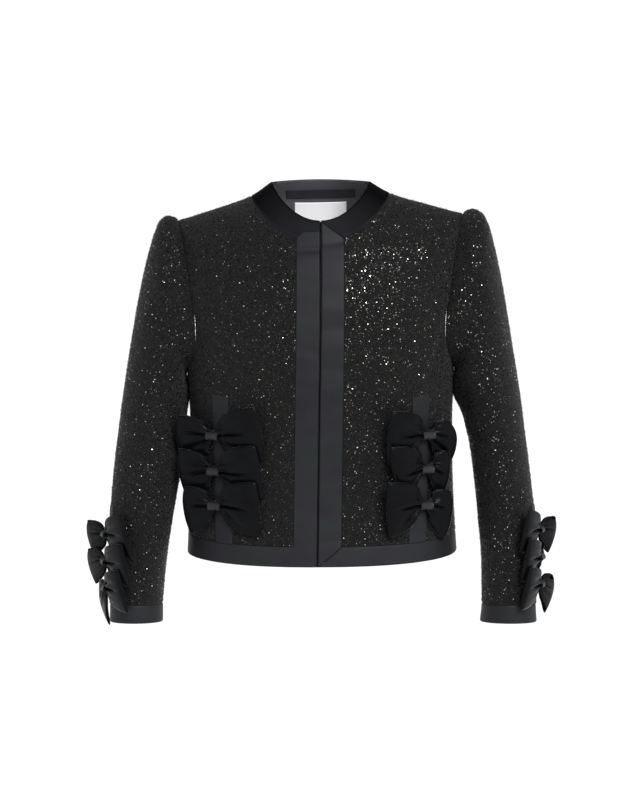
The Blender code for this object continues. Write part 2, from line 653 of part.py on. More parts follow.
def build_bow(bow, satin):
    """A flattened loop of wide ribbon with a wing on each side, and the knot that holds it."""
    size = BOW_SIZES[bow.on]
    seat, inward, up, out = bow_frame(bow)
    knot_middle = seat + out * (size.knot_depth + SEAM_GAP)
    clear = SEAM_GAP + BOW_LEAN * size.half_height + size.depth * (1 - BOW_TAPER)
    sink = clear - size.knot_depth - SEAM_GAP

    def ribbon_row(wing, face, station):
        """The points from the lower to the upper edge of the ribbon at one station."""
        reach, lift, climb, slant, half_height = {
            1: (bow.inner_reach, bow.inner_lift, bow.inner_climb, bow.inner_slant, size.half_height),
            -1: (bow.outer_reach, bow.outer_lift, bow.outer_climb, 0.0, size.outer_height),
        }[wing]
        free = station.reach * (reach - size.knot_half_width)
        run = station.in_knot * size.knot_half_width + free
        climbing = free * math.tan(math.radians(climb))
        leaving = free * math.tan(math.radians(lift))
        row = []
        for rise in steps(-1, 1, RIBBON_COLUMNS):
            height = rise * half_height * station.height
            depth = face * size.depth * station.depth * (1 - BOW_TAPER * abs(rise))
            if face > 0:
                depth -= size.valley * station.valley * (1 - abs(rise))
            off_cloth = sink * (1 - station.sink) + BOW_LEAN * height + leaving
            across = wing * (run - slant * station.reach ** 2 * rise)
            row.append(knot_middle + inward * across + up * (height + climbing) + out * (off_cloth + depth))
        return row

    outer = [ribbon_row(*stop) for stop in ribbon_path()]
    inner = []
    for index, row in enumerate(outer):
        ahead, behind = outer[(index + 1) % len(outer)], outer[index - 1]
        inner_row = []
        for column, point in enumerate(row):
            upward = row[min(column + 1, RIBBON_COLUMNS)] - row[max(column - 1, 0)]
            normal = (ahead[column] - behind[column]).cross(upward).normalized() * -SIDES[bow.side]
            inner_row.append(point - normal * RIBBON_WALL)
        inner.append(inner_row)
    wall(bow.name, satin, outer, inner, round_rows=True)
    build_knot(bow, satin, knot_middle, inward, up, out)


def build_knot(bow, satin, middle, inward, up, out):
    """The short tube of ribbon round the middle of a bow, with an eight-sided section."""
    size = BOW_SIZES[bow.on]
    grids = []
    for wall_depth in (0.0, RIBBON_WALL):
        rows = []
        for across in steps(-size.knot_half_width, size.knot_half_width, 2):
            row = []
            for column in range(KNOT_COLUMNS):
                turn = math.radians(360 * (column + 0.5) / KNOT_COLUMNS)
                longest = max(abs(math.cos(turn)), abs(math.sin(turn)))
                deep = math.cos(turn) / longest * (size.knot_depth - wall_depth)
                high = math.sin(turn) / longest * (size.knot_half_height - wall_depth)
                row.append(middle + inward * across + up * high + out * deep)
            rows.append(row)
        grids.append(rows)
    wall(bow.name.replace("bow", "knot"), satin, *grids, round_columns=True)


def main():
    for obj in list(bpy.data.objects):
        bpy.data.objects.remove(obj)
    tweed = cloth_material("sequin_tweed", (0.012, 0.012, 0.013), 0.75, 0.2)
    satin = cloth_material("black_satin", (0.022, 0.022, 0.028), 0.38, 0.3)
    lining = cloth_material("grey_lining", (0.055, 0.055, 0.065), 0.42)
    label = cloth_material("blank_label", (0.82, 0.82, 0.84), 0.6)
    for side in SIDES:
        build_front(side, tweed)
        build_front_band(side, satin)
        build_sleeve(side, tweed, satin)
    build_back(tweed)
    build_neck_band(satin)
    build_hem_bands(satin)
    build_inside_neck(lining, satin, label)
    build_strips(satin)
    for bow in BOWS:
        build_bow(bow, satin)


main()
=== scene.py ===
"""The looks of the sequin jacket: its tweed, satin, sequins, lining and bows around the fixed frame."""

import math
from collections import namedtuple

import bpy
import numpy as np
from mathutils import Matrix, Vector


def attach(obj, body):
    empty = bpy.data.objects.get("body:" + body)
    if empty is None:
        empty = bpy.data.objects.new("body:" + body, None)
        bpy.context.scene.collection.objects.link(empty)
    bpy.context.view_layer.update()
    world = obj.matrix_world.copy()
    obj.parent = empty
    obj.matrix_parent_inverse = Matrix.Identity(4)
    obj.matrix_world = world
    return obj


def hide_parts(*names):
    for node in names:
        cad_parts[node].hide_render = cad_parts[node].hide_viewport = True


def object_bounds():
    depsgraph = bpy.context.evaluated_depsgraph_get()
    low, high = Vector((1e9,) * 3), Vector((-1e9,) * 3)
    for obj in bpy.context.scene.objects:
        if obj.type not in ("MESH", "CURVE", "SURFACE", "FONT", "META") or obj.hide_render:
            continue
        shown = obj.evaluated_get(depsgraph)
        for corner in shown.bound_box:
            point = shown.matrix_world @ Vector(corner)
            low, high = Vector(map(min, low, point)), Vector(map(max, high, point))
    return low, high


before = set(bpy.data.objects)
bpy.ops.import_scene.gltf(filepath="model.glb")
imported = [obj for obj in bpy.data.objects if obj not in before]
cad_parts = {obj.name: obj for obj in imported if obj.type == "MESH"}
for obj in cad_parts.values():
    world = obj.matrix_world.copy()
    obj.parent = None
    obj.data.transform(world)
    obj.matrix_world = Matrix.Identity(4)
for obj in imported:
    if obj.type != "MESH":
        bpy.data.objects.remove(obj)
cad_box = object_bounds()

def table(kind, *rows):
    """The rows of a table with named columns."""
    return tuple(kind(*row) for row in rows)


# Cloth and seams
TWEED_WALL = 0.0020
BAND_WALL = 0.0022
BAND_LIFT = 0.0002
RIBBON_WALL = 0.0008
FACING_WALL = 0.0010
STRIP_WALL = 0.0010
SEAM_GAP = 0.0003
JOIN_GAP = 0.00004
FRONT_BAND = 0.0315

# The seam under the right end of the neck band, from the opening to the front band's outer edge
SeamStop = namedtuple("SeamStop", "share place")
RIGHT_NECK_SEAM = (SeamStop(0.0, 0.485), SeamStop(0.71, 0.611), SeamStop(1.0, 1.0))
SEAM_ROUNDS = 4

# Torso rings from the neck edge to the hem edge, as on the solids
Ring = namedtuple("Ring", "name middle_x opening_x left_rise half_width side_z "
                          "front front_z back back_z square")
RINGS = table(
    Ring,
    ("neck edge", 0.0, 0.0, 0.004, 0.0655, 0.0105, 0.074, -0.0415, 0.060, 0.0145, 2.00),
    ("band seam", 0.0, 0.0, 0.020, 0.0935, -0.0070, 0.087, -0.0710, 0.079, -0.0110, 2.00),
    ("yoke", 0.0, 0.0, 0.024, 0.1460, -0.0240, 0.099, -0.1030, 0.092, -0.0560, 2.03),
    ("shoulder end", 0.0, 0.0, 0.024, 0.1780, -0.0335, 0.106, -0.1290, 0.098, -0.0900, 2.00),
    ("shoulder tip", 0.0, 0.0, 0.024, 0.1915, -0.0375, 0.110, -0.1500, 0.101, -0.1180, 1.98),
    ("upper armhole", 0.0, -0.0003, 0.022, 0.1905, -0.1020, 0.114, -0.1850, 0.105, -0.1650, 2.18),
    ("lower armhole", 0.0, -0.0007, 0.020, 0.1840, -0.1750, 0.117, -0.2250, 0.106, -0.2150, 2.32),
    ("underarm", 0.0, -0.0013, 0.018, 0.1790, -0.2380, 0.117, -0.2600, 0.104, -0.2550, 2.35),
    ("high waist", 0.0010, -0.0021, 0.014, 0.1771, -0.3150, 0.112, -0.3250, 0.099, -0.3250, 2.35),
    ("low waist", 0.0012, -0.0030, 0.009, 0.1785, -0.3900, 0.110, -0.3950, 0.099, -0.3950, 2.35),
    ("hem seam", 0.0018, -0.0041, 0.006, 0.1820, -0.4640, 0.114, -0.4702, 0.105, -0.4670, 2.35),
    ("hem edge", 0.0022, -0.0045, 0.006, 0.1835, -0.4900, 0.117, -0.4965, 0.109, -0.4930, 2.35),
)
RING_PLACE = {ring.name: place for place, ring in enumerate(RINGS)}
NECK_EDGE = RING_PLACE["neck edge"]
BAND_SEAM = RING_PLACE["band seam"]
SHOULDER_TIP = RING_PLACE["shoulder tip"]
UNDERARM = RING_PLACE["underarm"]
HEM_SEAM = RING_PLACE["hem seam"]
HEM_EDGE = RING_PLACE["hem edge"]
RIDGE = 1.6

# Armhole, in degrees of the torso in front of and behind the side line
ARMHOLE_FRONT = 27.0
ARMHOLE_BACK = 22.0
ARMHOLE_SCOOP = 0.12
ARMHOLE_RING_RADIUS = 0.150
ARMHOLE_RING_SPACING = 0.066

# Sleeve rings, as on the solids: their depths on both sleeves, and their outer and inner lines
SleeveDepth = namedtuple("SleeveDepth", "name front back pitch")
SLEEVE_DEPTHS = table(
    SleeveDepth,
    ("armhole", 0.046, 0.042, 0.0),
    ("head rise", 0.052, 0.049, 0.0),
    ("head crown", 0.057, 0.055, 0.0),
    ("head turn", 0.061, 0.060, 0.0),
    ("head side", 0.064, 0.063, 0.0),
    ("upper sleeve", 0.066, 0.064, 0.0),
    ("biceps", 0.067, 0.064, 0.0),
    ("above elbow", 0.067, 0.059, 0.0),
    ("elbow", 0.067, 0.052, 0.02),
    ("below elbow", 0.068, 0.044, 0.04),
    ("forearm", 0.069, 0.035, 0.06),
    ("low forearm", 0.069, 0.027, 0.08),
    ("wrist", 0.068, 0.022, 0.09),
    ("cuff seam", 0.067, 0.020, 0.09),
    ("cuff edge", 0.067, 0.020, 0.09),
)
SleeveLine = namedtuple("SleeveLine", "out_x out_z in_x in_z")
SLEEVE_LINES = {
    "right": table(
        SleeveLine,
        (0.1905, -0.0410, 0.1790, -0.2400),
        (0.1975, -0.0362, 0.1835, -0.2435),
        (0.2070, -0.0352, 0.1850, -0.2490),
        (0.2158, -0.0410, 0.1842, -0.2560),
        (0.2228, -0.0555, 0.1822, -0.2625),
        (0.2314, -0.0830, 0.1802, -0.2700),
        (0.2442, -0.1376, 0.1790, -0.2790),
        (0.2556, -0.2010, 0.1799, -0.2920),
        (0.2665, -0.2710, 0.1822, -0.3180),
        (0.2750, -0.3350, 0.1848, -0.3560),
        (0.2817, -0.3950, 0.1932, -0.4020),
        (0.2855, -0.4520, 0.2025, -0.4560),
        (0.2862, -0.5050, 0.2095, -0.5060),
        (0.2857, -0.5605, 0.2143, -0.5605),
        (0.2865, -0.5853, 0.2146, -0.5853),
    ),
    "left": table(
        SleeveLine,
        (0.1946, -0.0330, 0.1790, -0.2340),
        (0.2010, -0.0278, 0.1835, -0.2370),
        (0.2093, -0.0265, 0.1850, -0.2425),
        (0.2190, -0.0320, 0.1843, -0.2490),
        (0.2268, -0.0465, 0.1824, -0.2555),
        (0.2356, -0.0800, 0.1806, -0.2630),
        (0.2475, -0.1371, 0.1802, -0.2730),
        (0.2586, -0.2040, 0.1840, -0.2850),
        (0.2700, -0.2740, 0.1938, -0.3080),
        (0.2785, -0.3400, 0.2030, -0.3500),
        (0.2855, -0.3960, 0.2093, -0.3985),
        (0.2908, -0.4480, 0.2140, -0.4480),
        (0.2920, -0.5050, 0.2185, -0.5050),
        (0.2924, -0.5605, 0.2192, -0.5605),
        (0.2940, -0.5853, 0.2170, -0.5853),
    ),
}
SleeveRing = namedtuple("SleeveRing", SleeveLine._fields + SleeveDepth._fields[1:])
SLEEVE_RINGS = {
    side: [SleeveRing(*line, *depth[1:]) for line, depth in zip(lines, SLEEVE_DEPTHS)]
    for side, lines in SLEEVE_LINES.items()
}
CUFF_SEAM = 13
CUFF_EDGE = 14
CUFF_HEIGHT = 0.025
ARMHOLE_FADE = (1.0, 0.80, 0.55, 0.30, 0.12, 0.0, 0.0)

# Inside of the back neck, in metres from the centre back and in places of the torso rings
FACING_ROWS = (0.0, 3.0)
FACING_ANGLES = (112.5, 247.5)
LOOP_HALF = 0.0485
LOOP_TOP = 0.51
LOOP_LOW = 0.97
LABEL_HALF = 0.0365
LABEL_TOP = 1.15
LABEL_LOW = 1.87

# Satin strips under the bows
FRONT_STRIP_TOP_X = 0.133
FRONT_STRIP_LOW_X = 0.128
FRONT_STRIP_HALF = 0.0112
FRONT_STRIP_TOP_Z = -0.272
FRONT_BOW_ASIDE = 0.004
SLEEVE_STRIP_TURN = 22.0
SLEEVE_STRIP_HALF = 11.0
SLEEVE_STRIP_TOP_Z = -0.425

# Half a bow, from the middle of its knot to its fold, with more stations than the solids have
WingStation = namedtuple("WingStation", "in_knot reach depth height sink valley")
WING = table(
    WingStation,
    (0.0, 0.00, 0.79, 0.12, 1.0, 0.0),
    (1.0, 0.03, 0.79, 0.40, 1.0, 0.7),
    (1.0, 0.09, 0.84, 0.58, 0.8, 1.0),
    (1.0, 0.18, 0.88, 0.71, 0.5, 1.0),
    (1.0, 0.38, 0.92, 0.85, 0.1, 0.9),
    (1.0, 0.68, 1.00, 0.96, 0.0, 0.4),
    (1.0, 0.88, 0.86, 0.99, 0.0, 0.1),
    (1.0, 0.96, 0.56, 1.00, 0.0, 0.0),
    (1.0, 1.00, 0.00, 1.00, 0.0, 0.0),
)
BOW_LEAN = 0.21
BOW_TAPER = 0.53
BowSize = namedtuple("BowSize", "half_height outer_height depth "
                                "knot_half_width knot_half_height knot_depth")
BOW_SIZES = {
    "front": BowSize(0.037, 0.030, 0.0070, 0.0080, 0.0082, 0.0072),
    "sleeve": BowSize(0.029, 0.022, 0.0044, 0.0062, 0.0066, 0.0056),
}
Bow = namedtuple("Bow", "name on side centre_z inner_reach inner_lift inner_climb inner_slant "
                        "outer_reach outer_lift outer_climb outer_round")
BOWS = table(
    Bow,
    ("bow_front_right_1", "front", "right", -0.3245, 0.073, -9, 3, 0.000, 0.060, 2, -5, 0.14),
    ("bow_front_right_2", "front", "right", -0.3722, 0.069, -10, -1, 0.000, 0.057, 1, -1, 0.10),
    ("bow_front_right_3", "front", "right", -0.4185, 0.064, -11, -5, -0.003, 0.051, -1, -7, 0.12),
    ("bow_front_left_1", "front", "left", -0.3236, 0.062, -5, -4, -0.004, 0.048, -4, -22, 0.30),
    ("bow_front_left_2", "front", "left", -0.3690, 0.052, -3, -8, -0.014, 0.038, -8, -14, 0.14),
    ("bow_front_left_3", "front", "left", -0.4175, 0.060, -3, -7, -0.007, 0.043, -6, -20, 0.14),
    ("bow_sleeve_right_1", "sleeve", "right", -0.4633, 0.053, -22, 3, 0.002, 0.044, 16, -11, 0.38),
    ("bow_sleeve_right_2", "sleeve", "right", -0.5000, 0.053, -22, 0, 0.002, 0.047, 12, -14, 0.36),
    ("bow_sleeve_right_3", "sleeve", "right", -0.5360, 0.046, -22, 0, 0.002, 0.044, -12, -40, 0.36),
    ("bow_sleeve_left_1", "sleeve", "left", -0.4570, 0.047, -19, 2, 0.000, 0.038, 17, -15, 0.52),
    ("bow_sleeve_left_2", "sleeve", "left", -0.4940, 0.045, -19, 0, 0.000, 0.036, -23, -8, 0.30),
    ("bow_sleeve_left_3", "sleeve", "left", -0.5310, 0.045, -18, -2, 0.000, 0.041, 8, -27, 0.50),
)
# Soft pleats in the front face of a wing. Start and end are how far above the wing's middle line a
# pleat lies at the knot and at the fold, as shares of its half height. Depth below zero is a ridge.
Pleat = namedtuple("Pleat", "start end width depth")
PLEATS = {
    "front": {
        1: (
            (Pleat(0.05, 0.02, 0.050, 0.0090), Pleat(-0.45, -0.75, 0.10, 0.0034),
             Pleat(0.50, 0.35, 0.12, 0.0020), Pleat(-0.25, -0.30, 0.12, -0.0014)),
            (Pleat(-0.06, -0.10, 0.050, 0.0092), Pleat(0.45, 0.75, 0.14, 0.0024),
             Pleat(-0.55, -0.60, 0.09, 0.0034), Pleat(0.20, 0.35, 0.14, -0.0014)),
            (Pleat(0.00, -0.05, 0.050, 0.0090), Pleat(-0.50, -0.85, 0.12, 0.0036),
             Pleat(0.55, 0.60, 0.12, 0.0018), Pleat(0.25, 0.10, 0.12, -0.0012)),
        ),
        -1: (
            (Pleat(0.10, 0.25, 0.060, 0.0070), Pleat(-0.40, -0.55, 0.11, 0.0034),
             Pleat(-0.10, -0.25, 0.14, -0.0016)),
            (Pleat(-0.05, -0.20, 0.060, 0.0072), Pleat(0.50, 0.45, 0.11, 0.0030),
             Pleat(0.20, 0.10, 0.12, -0.0014)),
            (Pleat(0.00, 0.15, 0.060, 0.0070), Pleat(-0.55, -0.70, 0.12, 0.0032),
             Pleat(0.50, 0.80, 0.14, 0.0026)),
        ),
    },
    "sleeve": {
        1: (
            (Pleat(0.05, -0.05, 0.070, 0.0056), Pleat(0.50, 0.60, 0.14, 0.0018)),
            (Pleat(-0.05, 0.10, 0.070, 0.0058), Pleat(-0.50, -0.60, 0.14, 0.0020)),
            (Pleat(0.00, 0.00, 0.070, 0.0056), Pleat(0.45, 0.30, 0.14, 0.0018)),
        ),
        -1: (
            (Pleat(0.00, 0.20, 0.080, 0.0042), Pleat(-0.50, -0.60, 0.14, 0.0018)),
            (Pleat(0.10, -0.10, 0.080, 0.0044), Pleat(0.55, 0.50, 0.14, 0.0016)),
            (Pleat(-0.05, 0.10, 0.080, 0.0042), Pleat(-0.50, -0.40, 0.14, 0.0018)),
        ),
    },
}
# The ribbon's fine gathers at a knot, and how its outer wings hang
GATHER_DEPTH = 0.0011
GATHER_FOLDS = 5.0
GATHER_REACH = 0.30
OUTER_HANG = 0.16
COLUMN_CROWDING = 0.50
INNER_ROUND = 0.05
ROUND_POWER = 2.5
TAPER_POWER = 1.6
PLEAT_END = 1.15
KNOT_SQUARE = 0.5
KNOT_WIDER = 1.20
KNOT_SHORTER = 0.68
KNOT_SLOPE = 0.62
KNOT_WAIST = 0.10
KNOT_RIB = 0.00040

SIDES = {"right": -1, "left": 1}

# Steps that the surface directions are measured over, and how often a search is halved
PLACE_STEP = 0.02
TURN_STEP = 0.6
HALVINGS = 30
SLOPE_HOLD = 1.3
TINY = 1e-12
# Share of a ring step over which a sleeve takes on its own direction
SLEEVE_BLEND = 0.25

# Rows and columns of the fine cloth, and the extra rows that round its edges
FRONT_GRID = (150, 56)
BACK_GRID = (150, 112)
BAND_GRID = (260, 16)
HEM_GRID = (14, 70)
NECK_GRID = (14, 200)
FACING_GRID = (40, 60)
TRIM_GRID = (14, 30)
STRIP_GRID = (60, 12)
SLEEVE_GRID = (170, 84)
CUFF_GRID = (14, 96)
EDGE_SHARES = (0.0, 0.1, 0.2, 0.35, 0.6)
# About how long and wide the cloths are, for the rows that round their edges
PANEL_HEIGHT = 0.42
FRONT_WIDTH = 0.20
BACK_WIDTH = 0.42
FRONT_BAND_LENGTH = 0.45
NECK_BAND_HEIGHT = 0.04
NECK_BAND_LENGTH = 0.5
HEM_BAND_HEIGHT = 0.026
FACING_HEIGHT = 0.10
FACING_WIDTH = 0.20
TRIM_HEIGHT = 0.03
SLEEVE_LENGTH = 0.55
STRIP_LENGTH = 0.19
RIBBON_STEPS = 4
RIBBON_COLUMNS = 37
KNOT_GRID = (14, 40)

# How far the outer face sinks at a sewn edge, and over what width
TWEED_EDGE = (0.0011, 0.0034)
SATIN_EDGE = (0.0010, 0.0022)
FLAT_EDGE = (0.0002, 0.0010)
SATIN_EDGES = {"left": SATIN_EDGE, "right": FLAT_EDGE}
TRIM_EDGE = (0.0004, 0.0012)
ROLL_DEPTH = 0.0036
ROLL_WIDTHS = (0.0005, 0.0015)

# Soft folds of the torso. Along is half the fold's length, across is its half width, and the lean
# turns it from upright towards the wearer's left at its top. Depth below zero is a trough.
METRES_PER_DEGREE = 0.0027
Fold = namedtuple("Fold", "angle height along across depth lean")
TORSO_FOLDS = table(
    Fold,
    (90, -0.240, 0.055, 0.030, 0.0020, 0),
    (-90, -0.240, 0.055, 0.030, 0.0020, 0),
    (57, -0.205, 0.060, 0.010, -0.0020, 24),
    (49, -0.225, 0.070, 0.013, 0.0016, 20),
    (-58, -0.210, 0.062, 0.011, -0.0021, -22),
    (-48, -0.235, 0.066, 0.012, 0.0014, -26),
    (68, -0.330, 0.080, 0.012, -0.0016, 4),
    (-70, -0.345, 0.075, 0.013, -0.0018, -6),
    (30, -0.420, 0.050, 0.016, 0.0012, -8),
    (-27, -0.400, 0.060, 0.015, 0.0011, 5),
    (24, -0.130, 0.055, 0.018, 0.0010, 16),
    (-26, -0.140, 0.050, 0.017, 0.0011, -14),
    (100, -0.330, 0.085, 0.012, 0.0015, -4),
    (-102, -0.320, 0.080, 0.013, 0.0014, 6),
    (125, -0.215, 0.070, 0.012, -0.0021, -20),
    (134, -0.240, 0.075, 0.014, 0.0018, -16),
    (-127, -0.220, 0.066, 0.012, -0.0022, 22),
    (-136, -0.250, 0.078, 0.014, 0.0016, 18),
    (165, -0.330, 0.110, 0.016, 0.0020, -3),
    (176, -0.350, 0.100, 0.012, -0.0014, 2),
    (-168, -0.320, 0.105, 0.017, 0.0018, 4),
    (152, -0.390, 0.070, 0.013, -0.0016, 5),
    (-150, -0.385, 0.075, 0.014, -0.0017, -6),
    (180, -0.090, 0.018, 0.060, -0.0012, 0),
)

# Soft folds of a sleeve, in degrees round it and heights
METRES_PER_TURN = 0.00095
SLEEVE_FOLDS = table(
    Fold,
    (180, -0.215, 0.060, 0.030, 0.0030, 0),
    (150, -0.290, 0.012, 0.034, -0.0016, 18),
    (140, -0.312, 0.010, 0.036, 0.0013, 14),
    (155, -0.335, 0.011, 0.030, -0.0014, 8),
    (128, -0.352, 0.010, 0.030, 0.0018, 16),
    (118, -0.262, 0.012, 0.026, 0.0016, 24),
    (60, -0.310, 0.013, 0.028, -0.0014, -14),
    (45, -0.345, 0.012, 0.030, 0.0012, -18),
    (75, -0.395, 0.012, 0.030, -0.0016, 12),
    (110, -0.425, 0.012, 0.028, 0.0014, 10),
    (85, -0.470, 0.014, 0.030, -0.0014, -8),
    (120, -0.515, 0.012, 0.024, 0.0013, 14),
    (60, -0.150, 0.050, 0.012, 0.0014, 10),
    (95, -0.170, 0.055, 0.012, -0.0018, -6),
    (115, -0.195, 0.050, 0.011, 0.0015, -10),
    (250, -0.300, 0.013, 0.034, -0.0024, -12),
    (262, -0.325, 0.012, 0.036, 0.0022, -16),
    (240, -0.350, 0.012, 0.032, -0.0022, -8),
    (285, -0.385, 0.013, 0.032, 0.0016, 12),
    (260, -0.420, 0.012, 0.030, -0.0015, -10),
    (300, -0.180, 0.050, 0.012, -0.0014, 8),
    (265, -0.200, 0.050, 0.012, 0.0015, -6),
    (230, -0.220, 0.040, 0.011, -0.0016, -12),
)

# Soft waves along the front bands, from the neck down
Wave = namedtuple("Wave", "height half_height depth slant")
BAND_WAVES = {
    "left": table(
        Wave,
        (-0.070, 0.005, -0.0020, 0.10),
        (-0.095, 0.010, 0.0008, -0.08),
        (-0.135, 0.012, -0.0008, 0.12),
        (-0.158, 0.009, 0.0009, -0.15),
        (-0.182, 0.008, -0.0011, 0.05),
        (-0.206, 0.010, 0.0007, 0.14),
        (-0.235, 0.009, -0.0009, -0.10),
        (-0.262, 0.008, 0.0008, 0.08),
        (-0.285, 0.009, -0.0010, 0.12),
        (-0.330, 0.012, 0.0007, -0.12),
        (-0.360, 0.010, -0.0008, 0.06),
        (-0.395, 0.010, 0.0008, 0.14),
        (-0.430, 0.011, -0.0007, -0.06),
        (-0.462, 0.006, -0.0011, 0.05),
    ),
    "right": table(
        Wave,
        (-0.080, 0.005, -0.0020, -0.06),
        (-0.110, 0.010, 0.0008, 0.12),
        (-0.150, 0.012, -0.0007, -0.10),
        (-0.180, 0.010, 0.0008, 0.08),
        (-0.212, 0.008, -0.0010, 0.14),
        (-0.250, 0.011, 0.0008, -0.10),
        (-0.287, 0.008, -0.0010, 0.05),
        (-0.315, 0.010, 0.0008, 0.10),
        (-0.352, 0.010, -0.0007, -0.12),
        (-0.385, 0.009, 0.0007, 0.06),
        (-0.415, 0.010, -0.0009, 0.12),
        (-0.450, 0.009, 0.0008, -0.08),
    ),
}

# Sequins, in metres, degrees and shares
SEQUIN_PITCH = 0.0027
SEQUIN_RADIUS = 0.00070
SEQUIN_CORNERS = 6
SEQUIN_LIFT = 0.0006
SEQUIN_TILT = 20.0
SEQUIN_MOST_TILT = 40.0
SEQUIN_SIZES = (0.8, 1.1)
SEQUIN_BARE_TURN = 1.0
SEQUIN_EDGE_SHARE = 0.006
SEQUIN_SEED = 41
AREA_STEP = 0.002
FRONT_SPOTS = (210, 95)
BACK_SPOTS = (210, 220)
SLEEVE_SPOTS = (330, 190)
# Kinds of sequin: the share of all, the brightness of its foil from low to high, and its colour
SequinKind = namedtuple("SequinKind", "share low high red green blue")
SEQUIN_KINDS = table(
    SequinKind,
    (0.010, 0.60, 1.00, 1.00, 0.95, 0.84),
    (0.040, 0.15, 0.45, 1.00, 0.95, 0.86),
    (0.240, 0.03, 0.09, 1.00, 0.97, 0.92),
    (0.710, 0.006, 0.020, 1.00, 1.00, 1.00),
)
# Painted highlights: how much more often pale sequins are put on each part of the jacket, where more
# light catches them
PAINTED_GLINT = {
    "front_left": 1.7, "front_right": 0.55, "back": 0.8,
    "sleeve_left": 0.8, "sleeve_right": 0.7,
}
PAINTED_GLINT_LEAST = 0.1
# Painted highlights: the share that is the same all over a front and the share that fades away from its
# middle, and how fast
PAINTED_GLINT_EVEN = 0.35
PAINTED_GLINT_MIDDLE = 0.65
PAINTED_GLINT_FADE_X = 0.11
# How far down the fronts have fewer pale sequins, and how many fewer: painted shade low on the fronts
PAINTED_GLINT_LOW_DEPTH = 0.30
PAINTED_GLINT_LOW_SHARE = 0.55
# The painted highlight down the left sleeve, a line of more pale sequins: its turn, width and strength
PAINTED_HIGHLIGHT_LINE = (98.0, 10.0, 2.5)
# Cloth without sequins beside the armhole, as shares of a front's width and of a sleeve's length
FRONT_BARE = 0.97
SLEEVE_BARE = 0.012

# Tweed: its patches for each metre with their colours, its slubs along and across, and its threads
TWEED_PATCHES = 38.0
TWEED_TINTS = (
    (0.30, (0.0085, 0.0083, 0.0092)),
    (0.45, (0.0088, 0.0086, 0.0080)),
    (0.58, (0.0078, 0.0086, 0.0084)),
    (0.72, (0.0092, 0.0084, 0.0088)),
)
TWEED_FLECKS = ((0.60, (0.55, 0.55, 0.55)), (0.80, (2.6, 2.6, 2.6)))
SLUBS_ALONG = (2600, 420, 1)
SLUBS_ACROSS = (420, 2600, 1)
TWEED_THREAD = 0.0011

# Satins: colours from patch to patch, patches for each metre, and painted shade where the cloth faces up
SHEEN_ROUGHNESS = 0.25
ROUGHNESS_SPREAD = (-0.05, 0.07)
SATIN_THREADS = (3200, 500, 1)
PAINTED_TOP_SHADE_STOPS = (0.40, 0.72)
Satin = namedtuple("Satin", "roughness specular patches upward sheen colours")
SATINS = {
    "black_satin": Satin(0.52, 0.12, 16.0, None, 0.03, (
        (0.0095, 0.0095, 0.0128), (0.0120, 0.0112, 0.0140),
        (0.0108, 0.0128, 0.0136), (0.0130, 0.0130, 0.0165))),
    # Neck satin: its colour drops to a tenth where the band faces up, painted shade on the shoulders
    "neck_satin": Satin(0.60, 0.02, 24.0, 0.10, 0.0, (
        (0.0090, 0.0088, 0.0100), (0.0105, 0.0102, 0.0125), (0.0120, 0.0120, 0.0140))),
    "bow_satin": Satin(0.34, 0.075, 45.0, None, 0.16, (
        (0.0012, 0.0013, 0.0022), (0.0018, 0.0016, 0.0028),
        (0.0014, 0.0022, 0.0026), (0.0024, 0.0024, 0.0036))),
    # Loop satin: a lighter copy of the black satin, painted light that lifts the hanging loop out of the
    # shade inside the neck
    "loop_satin": Satin(0.55, 0.10, 45.0, None, 0.05, (
        (0.026, 0.025, 0.031), (0.032, 0.031, 0.037))),
    # Knot satin: a lighter copy of the bow ribbon, painted light for the lit tops of the knots
    "knot_satin": Satin(0.42, 0.22, 60.0, None, 0.10, (
        (0.0120, 0.0120, 0.0132), (0.0165, 0.0165, 0.0185))),
    "grey_lining": Satin(0.48, 0.20, 30.0, None, 0.05, (
        (0.080, 0.080, 0.090), (0.094, 0.092, 0.104))),
}

# Label tape and sequin foil
LABEL_WEAVE = (1800, 1800, 1)
LABEL_TINTS = ((0.3, (0.90, 0.90, 0.92)), (0.7, (0.96, 0.96, 0.98)))
FOIL_SCRATCHES = 2600.0
FOIL_ROUGHNESS = (0.14, 0.34)

# Camera and light
CAMERA_DISTANCE = 3.0
CAMERA_ELEVATION = 5.0
CAMERA_TARGET = (-0.0007, 0.0, -0.2856)
FRAME_HALF_HEIGHT = 0.544
SENSOR = 36.0
FLOOR_DROP = 0.95
FLOOR_HALF = 60.0
FLOOR_COLOUR = (0.98, 0.98, 0.98, 1.0)
FLOOR_ROUGHNESS = 0.9
SKY_STOPS = ((0.22, (1.0, 1.0, 1.0)), (0.60, (0.42, 0.42, 0.43)))
SKY_STRENGTH = 1.06
VIEW_END = 200.0
SUN_STRENGTH = 3.3
SUN_SPREAD = 30.0
SUN_FROM = (0.40, -1.0, 0.72)


# Surface functions, as on the solids but for whole arrays of points

def held_slope(step_before, step_after):
    """The slope of a curve at a row, held back where one of the steps beside it is short."""
    most = SLOPE_HOLD * np.minimum(np.abs(step_before), np.abs(step_after))
    return np.clip((step_before + step_after) / 2, -most, most)


def between(rows, place, column):
    """The values of a column at fractional row numbers, on a smooth curve through the rows."""
    values = np.array([getattr(row, column) for row in rows], dtype=float)
    ends = (2 * values[0] - values[1], 2 * values[-1] - values[-2])
    values = np.concatenate([ends[:1], values, ends[1:]])
    place = np.asarray(place, dtype=float)
    low = np.clip(np.floor(place), 0, len(rows) - 2).astype(int)
    share = place - low
    before, here, after, beyond = (values[low + step] for step in range(4))
    slope_here = held_slope(here - before, after - here)
    slope_after = held_slope(after - here, beyond - after)
    change = after - here
    cubic = slope_here + slope_after - 2 * change
    square = 3 * change - 2 * slope_here - slope_after
    return here + share * (slope_here + share * (square + share * cubic))


def signed_power(value, power):
    return np.copysign(np.abs(value) ** power, value)


def unit(vectors):
    return vectors / np.maximum(np.linalg.norm(vectors, axis=-1, keepdims=True), TINY)


